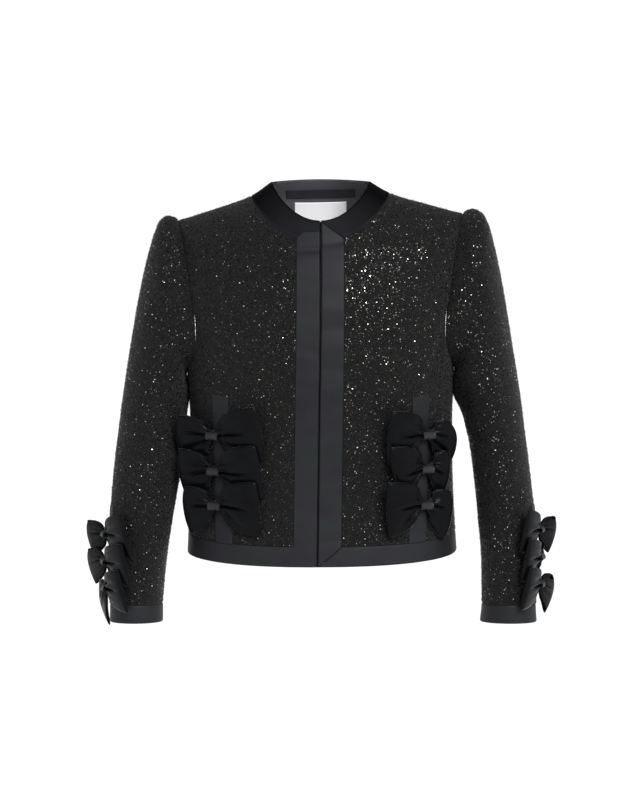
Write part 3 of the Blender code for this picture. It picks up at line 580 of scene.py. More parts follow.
def torso_point(angle, place):
    """Points of the torso. Angle 0 is the centre front, 90 the left side and -90 the right side."""
    angle, place = np.broadcast_arrays(np.asarray(angle, float), np.asarray(place, float))
    power = 2 / between(RINGS, place, "square")
    across = signed_power(np.sin(np.radians(angle)), power)
    along = signed_power(np.cos(np.radians(angle)), power)
    side_z = between(RINGS, place, "side_z")
    is_front = along >= 0
    depth = np.where(is_front, between(RINGS, place, "front"), between(RINGS, place, "back"))
    middle_z = np.where(is_front, between(RINGS, place, "front_z"), between(RINGS, place, "back_z"))
    x = between(RINGS, place, "half_width") * across
    z = side_z + (middle_z - side_z) * np.abs(along) ** RIDGE + between(RINGS, place, "left_rise") * x
    return np.stack([between(RINGS, place, "middle_x") + x, -depth * along, z], axis=-1)


def torso_normal(angle, place):
    """The outward directions of the torso."""
    down = torso_point(angle, place + PLACE_STEP) - torso_point(angle, place - PLACE_STEP)
    leftward = torso_point(angle + TURN_STEP, place) - torso_point(angle - TURN_STEP, place)
    return unit(np.cross(down, leftward))


def fold_relief(folds, turn, height, metres_per_turn):
    """How far a set of soft folds moves the cloth out at these turns and heights."""
    relief = np.zeros_like(height)
    for fold in folds:
        aside = ((turn - fold.angle + 180) % 360 - 180) * metres_per_turn
        above = height - fold.height
        lean = math.radians(fold.lean)
        across = aside * math.cos(lean) - above * math.sin(lean)
        along = aside * math.sin(lean) + above * math.cos(lean)
        relief += fold.depth * np.exp(-(across / fold.across) ** 2 - (along / fold.along) ** 2)
    return relief


def torso_cloth(angle, place):
    """Points and outward directions of the torso with its soft folds."""
    point, normal = torso_point(angle, place), torso_normal(angle, place)
    relief = fold_relief(TORSO_FOLDS, np.asarray(angle, float), point[..., 2], METRES_PER_DEGREE)
    return point + normal * relief[..., None], normal


def angle_at_x(x, place):
    """The front angles at which the torso is at x."""
    share = (x - between(RINGS, place, "middle_x")) / between(RINGS, place, "half_width")
    return np.degrees(np.arcsin(signed_power(share, between(RINGS, place, "square") / 2)))


def angle_off_opening(side, distance, place):
    """The front angles at this distance from the middle of the front opening."""
    return angle_at_x(between(RINGS, place, "opening_x") + SIDES[side] * distance, place)


def angle_off_side(distance, place, depth_column):
    """How far from 90 degrees the torso is this distance in front of or behind its side line."""
    share = distance / between(RINGS, place, depth_column)
    return np.degrees(np.arcsin(share ** (between(RINGS, place, "square") / 2)))


def half_gap(place):
    """Half a seam gap as a share of the way from one torso ring to the next."""
    step = torso_point(0, place + PLACE_STEP) - torso_point(0, place - PLACE_STEP)
    return JOIN_GAP / 2 * 2 * PLACE_STEP / np.linalg.norm(step)


def place_at_height(point_at, z, low, high):
    """The place between low and high where the line that a function gives is at height z."""
    for _ in range(HALVINGS):
        middle = (low + high) / 2
        if point_at(middle)[2] > z:
            low = middle
        else:
            high = middle
    return (low + high) / 2


def armhole_width(turn, inset_degrees=0.0):
    """Degrees of the torso between the side line and the armhole. Turn 0 is the shoulder tip."""
    sweep = np.sin(np.radians(turn))
    widest = np.where(sweep >= 0, ARMHOLE_FRONT, ARMHOLE_BACK)
    scoop = 1 - ARMHOLE_SCOOP * np.cos(np.radians(turn))
    return (widest - inset_degrees) * np.abs(sweep) * scoop


def armhole_spot(turn, side, inset):
    """Points of the armhole as torso angles and places, moved into the hole by the inset."""
    width = armhole_width(turn, math.degrees(inset / ARMHOLE_RING_RADIUS))
    towards_front = np.where(np.sin(np.radians(turn)) >= 0, 1, -1)
    share = (1 - np.cos(np.radians(turn))) / 2
    inset_places = inset / ARMHOLE_RING_SPACING
    place = SHOULDER_TIP + inset_places + (UNDERARM - SHOULDER_TIP - 2 * inset_places) * share
    return SIDES[side] * (90 - towards_front * width), place


def ring_point(sizes, side, turn):
    """Points of sleeve rings. Turn 0 is the outer line, 90 the front and 180 the inner line."""
    out_x, out_z, in_x, in_z, front, back, pitch = sizes
    across = np.cos(np.radians(turn))
    along = np.sin(np.radians(turn))
    x = (out_x + in_x) / 2 + (out_x - in_x) / 2 * across
    forward = (back + front) / 2 * along
    y = (back - front) / 2 - forward
    z = (out_z + in_z) / 2 + (out_z - in_z) / 2 * across + pitch * forward
    return np.stack([SIDES[side] * x, y, z], axis=-1)


def sleeve_point(side, turn, place):
    """Points of the sleeve, which starts on the armhole and leaves it within its head."""
    turn, place = np.broadcast_arrays(np.asarray(turn, float), np.asarray(place, float))
    rows = SLEEVE_RINGS[side]
    point = ring_point([between(rows, place, column) for column in SleeveRing._fields], side, turn)
    fade = np.interp(place, range(len(ARMHOLE_FADE)), ARMHOLE_FADE)
    armhole = torso_point(*armhole_spot(turn, side, JOIN_GAP))
    first = ring_point(rows[0], side, turn)
    return point + (armhole - first) * fade[..., None]


def sleeve_normal(side, turn, place):
    """The outward directions of the sleeve, shared with the torso at the armhole."""
    down = sleeve_point(side, turn, place + PLACE_STEP) - sleeve_point(side, turn, place)
    forward = sleeve_point(side, turn + TURN_STEP, place) - sleeve_point(side, turn - TURN_STEP, place)
    own = unit(np.cross(forward, down) * SIDES[side])
    shared = unit(own + torso_normal(*armhole_spot(np.asarray(turn, float), side, JOIN_GAP)))
    at_seam = np.clip(1 - np.asarray(place, float) / SLEEVE_BLEND, 0, 1)[..., None]
    return unit(own * (1 - at_seam) + shared * at_seam)


def sleeve_cloth(side, turn, place):
    """Points and outward directions of a sleeve with its soft folds."""
    turn, place = np.broadcast_arrays(np.asarray(turn, float), np.asarray(place, float))
    point, normal = sleeve_point(side, turn, place), sleeve_normal(side, turn, place)
    relief = fold_relief(SLEEVE_FOLDS, turn, point[..., 2], METRES_PER_TURN)
    relief = relief * np.clip(place, 0, 1)
    return point + normal * relief[..., None], normal


# Mesh functions

def shares(count, length):
    """Steps from 0 to 1 with extra ones close to both ends, where a sewn edge is rounded."""
    close = TWEED_EDGE[1] / length
    start = [share * close for share in EDGE_SHARES]
    middle = np.linspace(close, 1 - close, count - 2 * len(EDGE_SHARES) + 1)
    return np.concatenate([start, middle, [1 - share for share in reversed(start)]])


def arc_lengths(points, axis, closed):
    """Distance of each grid point from the first one of its row or column, and the whole length."""
    steps = np.linalg.norm(np.diff(points, axis=axis), axis=-1)
    zeros = np.zeros_like(np.take(steps, [0], axis=axis))
    run = np.concatenate([zeros, np.cumsum(steps, axis=axis)], axis=axis)
    whole = np.take(run, [-1], axis=axis)
    if closed:
        first, last = np.take(points, [0], axis=axis), np.take(points, [-1], axis=axis)
        whole = whole + np.linalg.norm(first - last, axis=-1)
    return run, whole


def edge_drop(points, edge, closed_columns, closed_rows):
    """How far the outer face sinks towards the free edges of a grid of points."""
    depth, width = edge
    distance = np.full(points.shape[:2], np.inf)
    for axis, closed in ((0, closed_rows), (1, closed_columns)):
        if not closed:
            run, whole = arc_lengths(points, axis, False)
            distance = np.minimum(distance, np.minimum(run, whole - run))
    return depth * (1 - np.clip(distance / width, 0, 1)) ** 2


def grid_faces(rows, columns, closed_columns, closed_rows, offset, turned):
    """The quads of a grid of points, as an array of corner numbers."""
    row = np.arange(rows if closed_rows else rows - 1)[:, None]
    column = np.arange(columns if closed_columns else columns - 1)[None, :]
    below, beside = (row + 1) % rows, (column + 1) % columns
    corners = [row * columns + column, below * columns + column,
               below * columns + beside, row * columns + beside]
    quads = np.stack([np.broadcast_to(corner, (len(row), column.size)) for corner in corners], -1)
    quads = quads.reshape(-1, 4) + offset
    return quads[:, ::-1] if turned else quads


def rim_faces(rows, columns, closed_columns, closed_rows, turned):
    """The quads that join the outer and inner grids along their free edges."""
    size = rows * columns
    edges = []
    if not closed_rows:
        line = np.arange(columns)
        pairs = (line, np.roll(line, -1)) if closed_columns else (line[:-1], line[1:])
        edges.append((pairs[1], pairs[0]))
        last = (rows - 1) * columns
        edges.append((pairs[0] + last, pairs[1] + last))
    if not closed_columns:
        line = np.arange(rows) * columns
        pairs = (line, np.roll(line, -1)) if closed_rows else (line[:-1], line[1:])
        edges.append((pairs[0], pairs[1]))
        edges.append((pairs[1] + columns - 1, pairs[0] + columns - 1))
    quads = [np.stack([second, first, first + size, second + size], -1) for first, second in edges]
    quads = np.concatenate(quads)
    return quads[:, ::-1] if turned else quads


def mesh_object(name, points, faces, corners, materials, material_of=None, smooth=True):
    """A mesh object from arrays. Faces are all of the same number of corners."""
    mesh = bpy.data.meshes.new(name)
    count = len(faces)
    mesh.vertices.add(len(points))
    mesh.vertices.foreach_set("co", np.ascontiguousarray(points, dtype=np.float32).ravel())
    mesh.loops.add(count * corners)
    mesh.loops.foreach_set("vertex_index", np.ascontiguousarray(faces, dtype=np.int32).ravel())
    mesh.polygons.add(count)
    mesh.polygons.foreach_set("loop_start", np.arange(count, dtype=np.int32) * corners)
    mesh.polygons.foreach_set("loop_total", np.full(count, corners, dtype=np.int32))
    for material in materials:
        mesh.materials.append(material)
    if material_of is not None:
        mesh.polygons.foreach_set("material_index", np.asarray(material_of, dtype=np.int32))
    mesh.polygons.foreach_set("use_smooth", np.full(count, smooth))
    mesh.update(calc_edges=True)
    mesh.validate()
    made = bpy.data.objects.new(name, mesh)
    bpy.context.scene.collection.objects.link(made)
    return made


def add_uv(mesh, u, v):
    """A UV map in metres across and down the cloth, from values for each vertex."""
    layer = mesh.uv_layers.new(name="cloth_metres")
    index = np.empty(len(mesh.loops), dtype=np.int32)
    mesh.loops.foreach_get("vertex_index", index)
    layer.data.foreach_set("uv", np.stack([u[index], v[index]], -1).astype(np.float32).ravel())


def cloth_shell(name, materials, point, normal, face, thickness, edge,
                closed_columns=False, closed_rows=False, turned=False):
    """A thin closed shell on a grid of points. Face is how far out its outer face lies."""
    drop = edge_drop(point, edge, closed_columns, closed_rows)
    face = np.broadcast_to(face, drop.shape)
    outer = point + normal * (face - drop)[..., None]
    inner = point + normal * (face - thickness)[..., None]
    rows, columns = point.shape[:2]
    size = rows * columns
    parts = [
        grid_faces(rows, columns, closed_columns, closed_rows, 0, turned),
        grid_faces(rows, columns, closed_columns, closed_rows, size, not turned),
        rim_faces(rows, columns, closed_columns, closed_rows, turned),
    ]
    material_of = np.repeat([0, 1, 0], [len(part) for part in parts])
    points = np.concatenate([outer.reshape(-1, 3), inner.reshape(-1, 3)])
    made = mesh_object(name, points, np.concatenate(parts), 4, materials, material_of)
    add_uv(made.data, np.tile(arc_lengths(point, 1, False)[0].ravel(), 2),
           np.tile(arc_lengths(point, 0, False)[0].ravel(), 2))
    return made


def cloth(name, nodes, materials, point, normal, thickness, lift=0.0, edge=TWEED_EDGE,
          closed_columns=False, closed_rows=False, relief=0.0, turned=False):
    """A thin shell of cloth on a grid of points, standing for one or more nodes of the frame."""
    face = lift + np.broadcast_to(relief, point.shape[:2])
    made = cloth_shell(name, materials, point, normal, face, thickness, edge,
                       closed_columns, closed_rows, turned)
    middle = point + normal * (face - thickness / 2)[..., None]
    area = grid_area(middle, closed_columns, closed_rows)
    widest, longest = (float(arc_lengths(point, axis, closed)[1].max())
                       for axis, closed in ((1, closed_columns), (0, closed_rows)))
    flat = (round(widest, 3), round(longest, 3))
    area = min(round(area, 4), flat[0] * flat[1])
    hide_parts(*nodes)
    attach(made, "root")
    return made


def grid_area(points, closed_columns, closed_rows):
    """The area of a grid of points."""
    rows, columns = points.shape[:2]
    quads = points.reshape(-1, 3)[grid_faces(rows, columns, closed_columns, closed_rows, 0, False)]
    first = quads[:, 2] - quads[:, 0]
    second = quads[:, 3] - quads[:, 1]
    return float(np.linalg.norm(np.cross(first, second), axis=1).sum() / 2)


# Materials

def new_material(name, roughness, specular, sheen=0.0, sheen_roughness=0.5):
    made = bpy.data.materials.new(name)
    made.use_nodes = True
    shader = made.node_tree.nodes["Principled BSDF"]
    shader.inputs["Roughness"].default_value = roughness
    shader.inputs["Specular IOR Level"].default_value = specular
    shader.inputs["Sheen Weight"].default_value = sheen
    shader.inputs["Sheen Roughness"].default_value = sheen_roughness
    return made, made.node_tree.nodes, made.node_tree.links, shader


def noise(nodes, links, vector, scale, detail=3.0, roughness=0.55):
    made = nodes.new("ShaderNodeTexNoise")
    made.inputs["Scale"].default_value = scale
    made.inputs["Detail"].default_value = detail
    made.inputs["Roughness"].default_value = roughness
    links.new(vector, made.inputs["Vector"])
    return made.outputs["Fac"]


def ramp(nodes, links, value, stops):
    """A colour ramp with stops of (position, colour)."""
    made = nodes.new("ShaderNodeValToRGB")
    elements = made.color_ramp.elements
    while len(elements) < len(stops):
        elements.new(0.5)
    for element, (position, colour) in zip(elements, stops):
        element.position = position
        element.color = (*colour, 1.0)
    links.new(value, made.inputs["Fac"])
    return made.outputs["Color"]


def math_node(nodes, links, operation, first, second):
    made = nodes.new("ShaderNodeMath")
    made.operation = operation
    for socket, value in zip(made.inputs, (first, second)):
        if isinstance(value, (int, float)):
            socket.default_value = value
        else:
            links.new(value, socket)
    return made.outputs[0]


def multiplied(nodes, links, first, second):
    made = nodes.new("ShaderNodeMix")
    made.data_type = "RGBA"
    made.blend_type = "MULTIPLY"
    made.inputs["Factor"].default_value = 1.0
    colours = [socket for socket in made.inputs if socket.type == "RGBA"]
    links.new(first, colours[0])
    links.new(second, colours[1])
    return next(socket for socket in made.outputs if socket.type == "RGBA")


def scaled(nodes, links, vector, scale):
    made = nodes.new("ShaderNodeMapping")
    made.inputs["Scale"].default_value = scale
    links.new(vector, made.inputs["Vector"])
    return made.outputs["Vector"]


def bump(nodes, links, height, strength, distance, shader):
    made = nodes.new("ShaderNodeBump")
    made.inputs["Strength"].default_value = strength
    made.inputs["Distance"].default_value = distance
    links.new(height, made.inputs["Height"])
    links.new(made.outputs["Normal"], shader.inputs["Normal"])


def uneven_roughness(nodes, links, value, low, high, shader):
    made = nodes.new("ShaderNodeMapRange")
    made.inputs["To Min"].default_value = low
    made.inputs["To Max"].default_value = high
    links.new(value, made.inputs["Value"])
    links.new(made.outputs["Result"], shader.inputs["Roughness"])


def threads(nodes, links, vector, thread, direction):
    """Rounded threads of a weave, from 0 to 1, running up and down or across."""
    made = nodes.new("ShaderNodeTexWave")
    made.wave_type = "BANDS"
    made.bands_direction = direction
    made.inputs["Scale"].default_value = 1 / (thread * 2 * math.pi) * math.pi / 5
    made.inputs["Distortion"].default_value = 1.2
    made.inputs["Detail"].default_value = 1.0
    made.inputs["Detail Scale"].default_value = 2.0
    links.new(vector, made.inputs["Vector"])
    return made.outputs["Fac"]


def tweed_material():
    """Black tweed of slubby yarns with faint dark colours in it."""
    made, nodes, links, shader = new_material("sequin_tweed", 0.85, 0.08, 0.05, 0.6)
    coordinates = nodes.new("ShaderNodeTexCoord")
    place, metres = coordinates.outputs["Object"], coordinates.outputs["UV"]
    patches = noise(nodes, links, place, TWEED_PATCHES, 2.0)
    tint = ramp(nodes, links, patches, TWEED_TINTS)
    slubs = noise(nodes, links, scaled(nodes, links, metres, SLUBS_ALONG), 1.0, 2.0)
    cross = noise(nodes, links, scaled(nodes, links, metres, SLUBS_ACROSS), 1.0, 2.0)
    lightest = math_node(nodes, links, "MAXIMUM", slubs, cross)
    flecks = ramp(nodes, links, lightest, TWEED_FLECKS)
    colour = multiplied(nodes, links, tint, flecks)
    links.new(colour, shader.inputs["Base Color"])
    warp, weft = (threads(nodes, links, metres, TWEED_THREAD, direction) for direction in "XY")
    weave = math_node(nodes, links, "MULTIPLY", warp, weft)
    height = math_node(nodes, links, "ADD", weave, lightest)
    bump(nodes, links, height, 0.7, 0.0006, shader)
    return made


def satin_material(name):
    """Heavy satin: a soft sheen with faint patches of colour and fine threads across it."""
    roughness, specular, patch_scale, painted_top_shade, sheen, colours = SATINS[name]
    made, nodes, links, shader = new_material(name, roughness, specular, sheen, SHEEN_ROUGHNESS)
    coordinates = nodes.new("ShaderNodeTexCoord")
    place, metres = coordinates.outputs["Object"], coordinates.outputs["UV"]
    patches = noise(nodes, links, scaled(nodes, links, place, (1, 1, 1.6)), patch_scale, 1.5)
    stops = [(0.30 + 0.40 * step / (len(colours) - 1), colour) for step, colour in enumerate(colours)]
    colour = ramp(nodes, links, patches, stops)
    # Painted shade: the colour is darkened where the cloth's normal points up
    if painted_top_shade is not None:
        parts = nodes.new("ShaderNodeSeparateXYZ")
        links.new(coordinates.outputs["Normal"], parts.inputs["Vector"])
        stops = zip(PAINTED_TOP_SHADE_STOPS, ((1.0, 1.0, 1.0), (painted_top_shade, painted_top_shade, painted_top_shade)))
        fade = ramp(nodes, links, parts.outputs["Z"], list(stops))
        colour = multiplied(nodes, links, colour, fade)
    links.new(colour, shader.inputs["Base Color"])
    low, high = (roughness + change for change in ROUGHNESS_SPREAD)
    uneven_roughness(nodes, links, patches, low, high, shader)
    fine = noise(nodes, links, scaled(nodes, links, metres, SATIN_THREADS), 1.0, 1.0)
    bump(nodes, links, fine, 0.18, 0.0002, shader)
    return made


def label_material():
    """Matt white woven tape."""
    made, nodes, links, shader = new_material("blank_label", 0.7, 0.2)
    coordinates = nodes.new("ShaderNodeTexCoord")
    fine = noise(nodes, links, scaled(nodes, links, coordinates.outputs["UV"], LABEL_WEAVE), 1.0, 1.0)
    colour = ramp(nodes, links, fine, LABEL_TINTS)
    links.new(colour, shader.inputs["Base Color"])
    bump(nodes, links, fine, 0.2, 0.0002, shader)
    return made


def sequin_material():
    """Thin foil discs, each with its own brightness and colour."""
    made, nodes, links, shader = new_material("sequin_foil", 0.22, 0.5)
    shader.inputs["Metallic"].default_value = 1.0
    tone = nodes.new("ShaderNodeVertexColor")
    tone.layer_name = "foil"
    coordinates = nodes.new("ShaderNodeTexCoord")
    scratches = noise(nodes, links, coordinates.outputs["Object"], FOIL_SCRATCHES, 1.0)
    uneven_roughness(nodes, links, scratches, *FOIL_ROUGHNESS, shader)
    links.new(tone.outputs["Color"], shader.inputs["Base Color"])
    return made


# Fronts and back

def panel_edge(place, depth_column):
    """Degrees between the side line and the edge of a front or back, at a seam or the armhole."""
    off_side = angle_off_side(JOIN_GAP / 2, place, depth_column)
    share = np.clip((place - SHOULDER_TIP) / (UNDERARM - SHOULDER_TIP), 0, 1)
    turn = np.degrees(np.arccos(1 - 2 * share))
    turn = turn if depth_column == "front" else -turn
    return np.maximum(off_side, armhole_width(turn))


def front_spots(side, across, place, distance=FRONT_BAND + JOIN_GAP / 2):
    """Spots of a front at shares of its width, from a distance off the opening to its edge."""
    start = angle_off_opening(side, distance, place)
    end = SIDES[side] * (90 - panel_edge(place, "front"))
    return start + (end - start) * across, place


def back_spots(across, place):
    """Spots of the back at shares of its width, from its left edge to its right edge."""
    edge = panel_edge(place, "back")
    return 90 + edge + (180 - 2 * edge) * across, place


def panel_place(down):
    """Places of a torso panel at shares of its height."""
    start, end = BAND_SEAM + half_gap(BAND_SEAM), HEM_SEAM - half_gap(HEM_SEAM)
    return start + (end - start) * down


def front_cloth(side):
    return lambda across, down: torso_cloth(*front_spots(side, across, panel_place(down)))


def back_cloth(across, down):
    return torso_cloth(*back_spots(across, panel_place(down)))


def share_grid(size, height, width=None):
    """Shares down and across for a grid of that size, as two arrays. A tube has no width."""
    down = shares(size[0], height)[:, None]
    across = np.arange(size[1]) / size[1] if width is None else shares(size[1], width)
    return np.broadcast_arrays(down, across[None, :])


def build_torso(tweed, lining):
    """The two fronts and the back."""
    for side in SIDES:
        down, across = share_grid(FRONT_GRID, PANEL_HEIGHT, FRONT_WIDTH)
        point, normal = front_cloth(side)(across, down)
        cloth(f"tweed_front_{side}", [f"front_{side}"], [tweed, lining],
              point, normal, TWEED_WALL, turned=side == "right")
    down, across = share_grid(BACK_GRID, PANEL_HEIGHT, BACK_WIDTH)
    point, normal = back_cloth(across, down)
    cloth("tweed_back", ["back_upper", "back_lower"], [tweed, lining],
          point, normal, TWEED_WALL)


# Satin bands

def band_relief(side, across, height):
    """Soft waves across a front band."""
    relief = np.zeros_like(height)
    for wave in BAND_WAVES[side]:
        above = height - wave.height - wave.slant * (across - 0.5) * FRONT_BAND
        relief += wave.depth * np.exp(-(above / wave.half_height) ** 2)
    return relief


def rolled(distance):
    """How far the cloth turns in at this distance from the middle of the opening."""
    start, end = ROLL_WIDTHS
    share = np.clip((end - distance) / (end - start), 0, 1)
    return -ROLL_DEPTH * share * share * (3 - 2 * share)


def right_neck_seam(share):
    """Places of the seam under the right end of the neck band, at shares of the front band's width."""
    return np.interp(share, *zip(*RIGHT_NECK_SEAM))


def build_front_bands(satin, lining):
    """The upright bands of the fronts, mitred at the hem, and on the left at the neck too."""
    for side in SIDES:
        down, across = share_grid(BAND_GRID, FRONT_BAND_LENGTH, FRONT_BAND)
        top = right_neck_seam(across) if side == "right" else NECK_EDGE + (BAND_SEAM - NECK_EDGE) * across
        start = top + half_gap(BAND_SEAM)
        end = HEM_EDGE - half_gap(HEM_EDGE) + (HEM_SEAM - HEM_EDGE) * across
        place = start + (end - start) * down
        distance = (FRONT_BAND - JOIN_GAP / 2) * across
        point, normal = torso_cloth(angle_off_opening(side, distance, place), place)
        cloth(f"satin_front_band_{side}", [f"front_band_{side}"], [satin, lining],
              point, normal, BAND_WALL, BAND_LIFT, SATIN_EDGES[side],
              relief=band_relief(side, across, point[..., 2]) + rolled(distance),
              turned=side == "right")


def build_neck_band(satin, lining):
    """The band round the neck. Its left end is mitred and its right end lies over the front band."""
    down, across = share_grid(NECK_GRID, NECK_BAND_HEIGHT, NECK_BAND_LENGTH)
    place = NECK_EDGE + (BAND_SEAM - NECK_EDGE) * down
    for _ in range(SEAM_ROUNDS):
        start = angle_off_opening("left", JOIN_GAP + FRONT_BAND * down, place)
        end = 360 + angle_off_opening("right", 0.0, place)
        angle = start + (end - start) * across
        aside = np.where(angle > 270, -torso_point(angle, place)[..., 0], 1.0)
        place = NECK_EDGE + (right_neck_seam(aside / FRONT_BAND) - half_gap(BAND_SEAM) - NECK_EDGE) * down
    point, normal = torso_cloth(angle, place)
    from_opening = np.where(across > 0.5, (1 - across) * arc_lengths(point, 1, False)[1], 1.0)
    cloth("satin_neck_band", ["neck_band"], [satin, lining],
          point, normal, BAND_WALL, BAND_LIFT, SATIN_EDGE, relief=rolled(from_opening))


def build_hem_bands(satin, lining):
    """Three bands round the hem, seamed at the sides and mitred to the front bands."""
    start = HEM_SEAM + half_gap(HEM_SEAM)
    for side in SIDES:
        down, across = share_grid(HEM_GRID, HEM_BAND_HEIGHT, FRONT_WIDTH)
        place = start + (HEM_EDGE - start) * down
        mitre = JOIN_GAP + FRONT_BAND * (HEM_EDGE - place)
        point, normal = torso_cloth(*front_spots(side, across, place, mitre))
        cloth(f"satin_hem_band_{side}", [f"hem_band_{side}"], [satin, lining],
              point, normal, BAND_WALL, BAND_LIFT, SATIN_EDGES[side], turned=side == "right")
    down, across = share_grid((HEM_GRID[0], 2 * HEM_GRID[1]), HEM_BAND_HEIGHT, BACK_WIDTH)
    place = start + (HEM_EDGE - start) * down
    point, normal = torso_cloth(*back_spots(across, place))
    cloth("satin_hem_band_back", ["hem_band_back"], [satin, lining],
          point, normal, BAND_WALL, BAND_LIFT, SATIN_EDGE)


# Inside of the back neck

def build_inside_neck(lining, satin, label):
    """The facing inside the back neck, with a hanging loop and a blank label sewn flat on it."""
    down, across = share_grid(FACING_GRID, FACING_HEIGHT, FACING_WIDTH)
    angle = FACING_ANGLES[0] + (FACING_ANGLES[1] - FACING_ANGLES[0]) * across
    place = FACING_ROWS[0] + (FACING_ROWS[1] - FACING_ROWS[0]) * down
    point, normal = torso_cloth(angle, place)
    lift = -TWEED_WALL - SEAM_GAP
    cloth("lining_facing_back", ["facing_back"], [lining, lining],
          point, normal, FACING_WALL, lift, TRIM_EDGE)
    trims = (
        ("satin_hanging_loop", "hanging_loop", "black_satin", satin, LOOP_HALF, LOOP_TOP, LOOP_LOW),
        ("tape_label", "label", "blank_label", label, LABEL_HALF, LABEL_TOP, LABEL_LOW),
    )
    for name, node, slot, material, half, top, low in trims:
        down, across = share_grid(TRIM_GRID, TRIM_HEIGHT, 2 * half)
        place = top + (low - top) * down
        angle = 180 - angle_at_x(half - 2 * half * across, place)
        point, normal = torso_cloth(angle, place)
        drop = edge_drop(point, TRIM_EDGE, False, False)
        cloth(name, [node], [material, material], point, normal, FACING_WALL,
              lift - FACING_WALL - SEAM_GAP, (0.0, TRIM_EDGE[1]), relief=drop)


# Sleeves

def sleeve_place(down):
    return (CUFF_SEAM - JOIN_GAP / 4 / CUFF_HEIGHT) * down


def build_sleeves(tweed, satin, lining):
    """The set-in sleeves of tweed with their satin cuff bands."""
    for side in SIDES:
        down, across = share_grid(SLEEVE_GRID, SLEEVE_LENGTH)
        point, normal = sleeve_cloth(side, 360 * across, sleeve_place(down))
        tubes = [f"sleeve_{part}_{side}" for part in ("head", "upper", "lower")]
        cloth(f"tweed_sleeve_{side}", tubes, [tweed, lining],
              point, normal, TWEED_WALL, closed_columns=True, turned=side == "left")
        down, across = share_grid(CUFF_GRID, CUFF_HEIGHT)
        start = CUFF_SEAM + JOIN_GAP / 2 / CUFF_HEIGHT
        point, normal = sleeve_cloth(side, 360 * across, start + (CUFF_EDGE - start) * down)
        cloth(f"satin_cuff_{side}", [f"cuff_{side}"], [satin, lining],
              point, normal, BAND_WALL, BAND_LIFT, SATIN_EDGE, closed_columns=True, turned=side == "left")


# Satin strips and bows

def front_strip_spot(side, place, aside=0.0):
    """Spots on the middle line of a front's strip, or aside from it towards the side seam."""
    share = (place - UNDERARM) / (HEM_SEAM - UNDERARM)
    x = FRONT_STRIP_TOP_X + (FRONT_STRIP_LOW_X - FRONT_STRIP_TOP_X) * share + aside
    return angle_at_x(SIDES[side] * x, place), place


def front_strip_top(side):
    return place_at_height(lambda place: torso_point(*front_strip_spot(side, place)),
                           FRONT_STRIP_TOP_Z, UNDERARM, HEM_SEAM)


def sleeve_strip_top(side):
    return place_at_height(lambda place: sleeve_point(side, SLEEVE_STRIP_TURN, place),
                           SLEEVE_STRIP_TOP_Z, 0, CUFF_SEAM)


def build_strips(satin):
    """The satin strips that carry the bows, one on each front and one on each sleeve."""
    lift = SEAM_GAP + STRIP_WALL
    for side in SIDES:
        down, across = share_grid(STRIP_GRID, STRIP_LENGTH, 2 * FRONT_STRIP_HALF)
        top = front_strip_top(side)
        place = top + (HEM_SEAM - 2 * half_gap(HEM_SEAM) - top) * down
        aside = FRONT_STRIP_HALF * (2 * across - 1)
        point, normal = torso_cloth(*front_strip_spot(side, place, aside))
        cloth(f"satin_strip_front_{side}", [f"strip_front_{side}"], [satin, satin],
              point, normal, STRIP_WALL, lift, TRIM_EDGE, turned=side == "right")
        top = sleeve_strip_top(side)
        place = top + (CUFF_SEAM - SEAM_GAP / CUFF_HEIGHT - top) * down
        turn = SLEEVE_STRIP_TURN + SLEEVE_STRIP_HALF * (2 * across - 1)
        point, normal = sleeve_cloth(side, turn, place)
        cloth(f"satin_strip_sleeve_{side}", [f"strip_sleeve_{side}"], [satin, satin],
              point, normal, STRIP_WALL, lift, TRIM_EDGE, turned=side == "left")


def bow_frame(bow):
    """The point of the strip behind a bow, with the directions inwards, up and out from the cloth."""
    if bow.on == "front":
        def point_at(place):
            return torso_point(*front_strip_spot(bow.side, place, FRONT_BOW_ASIDE))

        place = place_at_height(point_at, bow.centre_z, UNDERARM, HEM_SEAM)
        out = torso_normal(*front_strip_spot(bow.side, place, FRONT_BOW_ASIDE))
    else:
        def point_at(place):
            return sleeve_point(bow.side, SLEEVE_STRIP_TURN, place)

        place = place_at_height(point_at, bow.centre_z, 0, CUFF_SEAM)
        out = sleeve_normal(bow.side, SLEEVE_STRIP_TURN, place)
    up = unit(point_at(place - PLACE_STEP) - point_at(place + PLACE_STEP))
    inward = unit(np.cross(up, out)) * -SIDES[bow.side]
    return point_at(place) + out * (SEAM_GAP + STRIP_WALL), inward, up, out


def ribbon_stops():
    """The stops round the closed ribbon as arrays of wing, face and fractional station."""
    last = len(WING) - 1
    station = np.linspace(0, last, last * RIBBON_STEPS + 1)
    front_wing = np.concatenate([np.full(len(station) - 1, -1), np.full(len(station), 1)])
    front_station = np.concatenate([station[:0:-1], station])
    wing = np.concatenate([front_wing, front_wing[-2:0:-1]])
    face = np.concatenate([np.ones(len(front_wing)), -np.ones(len(front_wing) - 2)])
    return wing, face, np.concatenate([front_station, front_station[-2:0:-1]])


def wing_pleats(bow, number, wing, rise, share):
    """How deep the pleats of a wing lie at these spots, shallower towards the fold."""
    depth = np.zeros(np.broadcast(rise, share).shape)
    for side_of_knot, rows in PLEATS[bow.on].items():
        for pleat in rows[number % len(rows)]:
            middle = pleat.start + (pleat.end - pleat.start) * share
            here = pleat.depth * np.exp(-((rise - middle) / pleat.width) ** 2)
            depth += np.where(wing == side_of_knot, here, 0.0)
    gathers = GATHER_DEPTH * (1 + np.cos(rise * GATHER_FOLDS * math.pi)) * np.exp(-share / GATHER_REACH)
    return depth * np.clip(PLEAT_END - share, 0, 1) + gathers


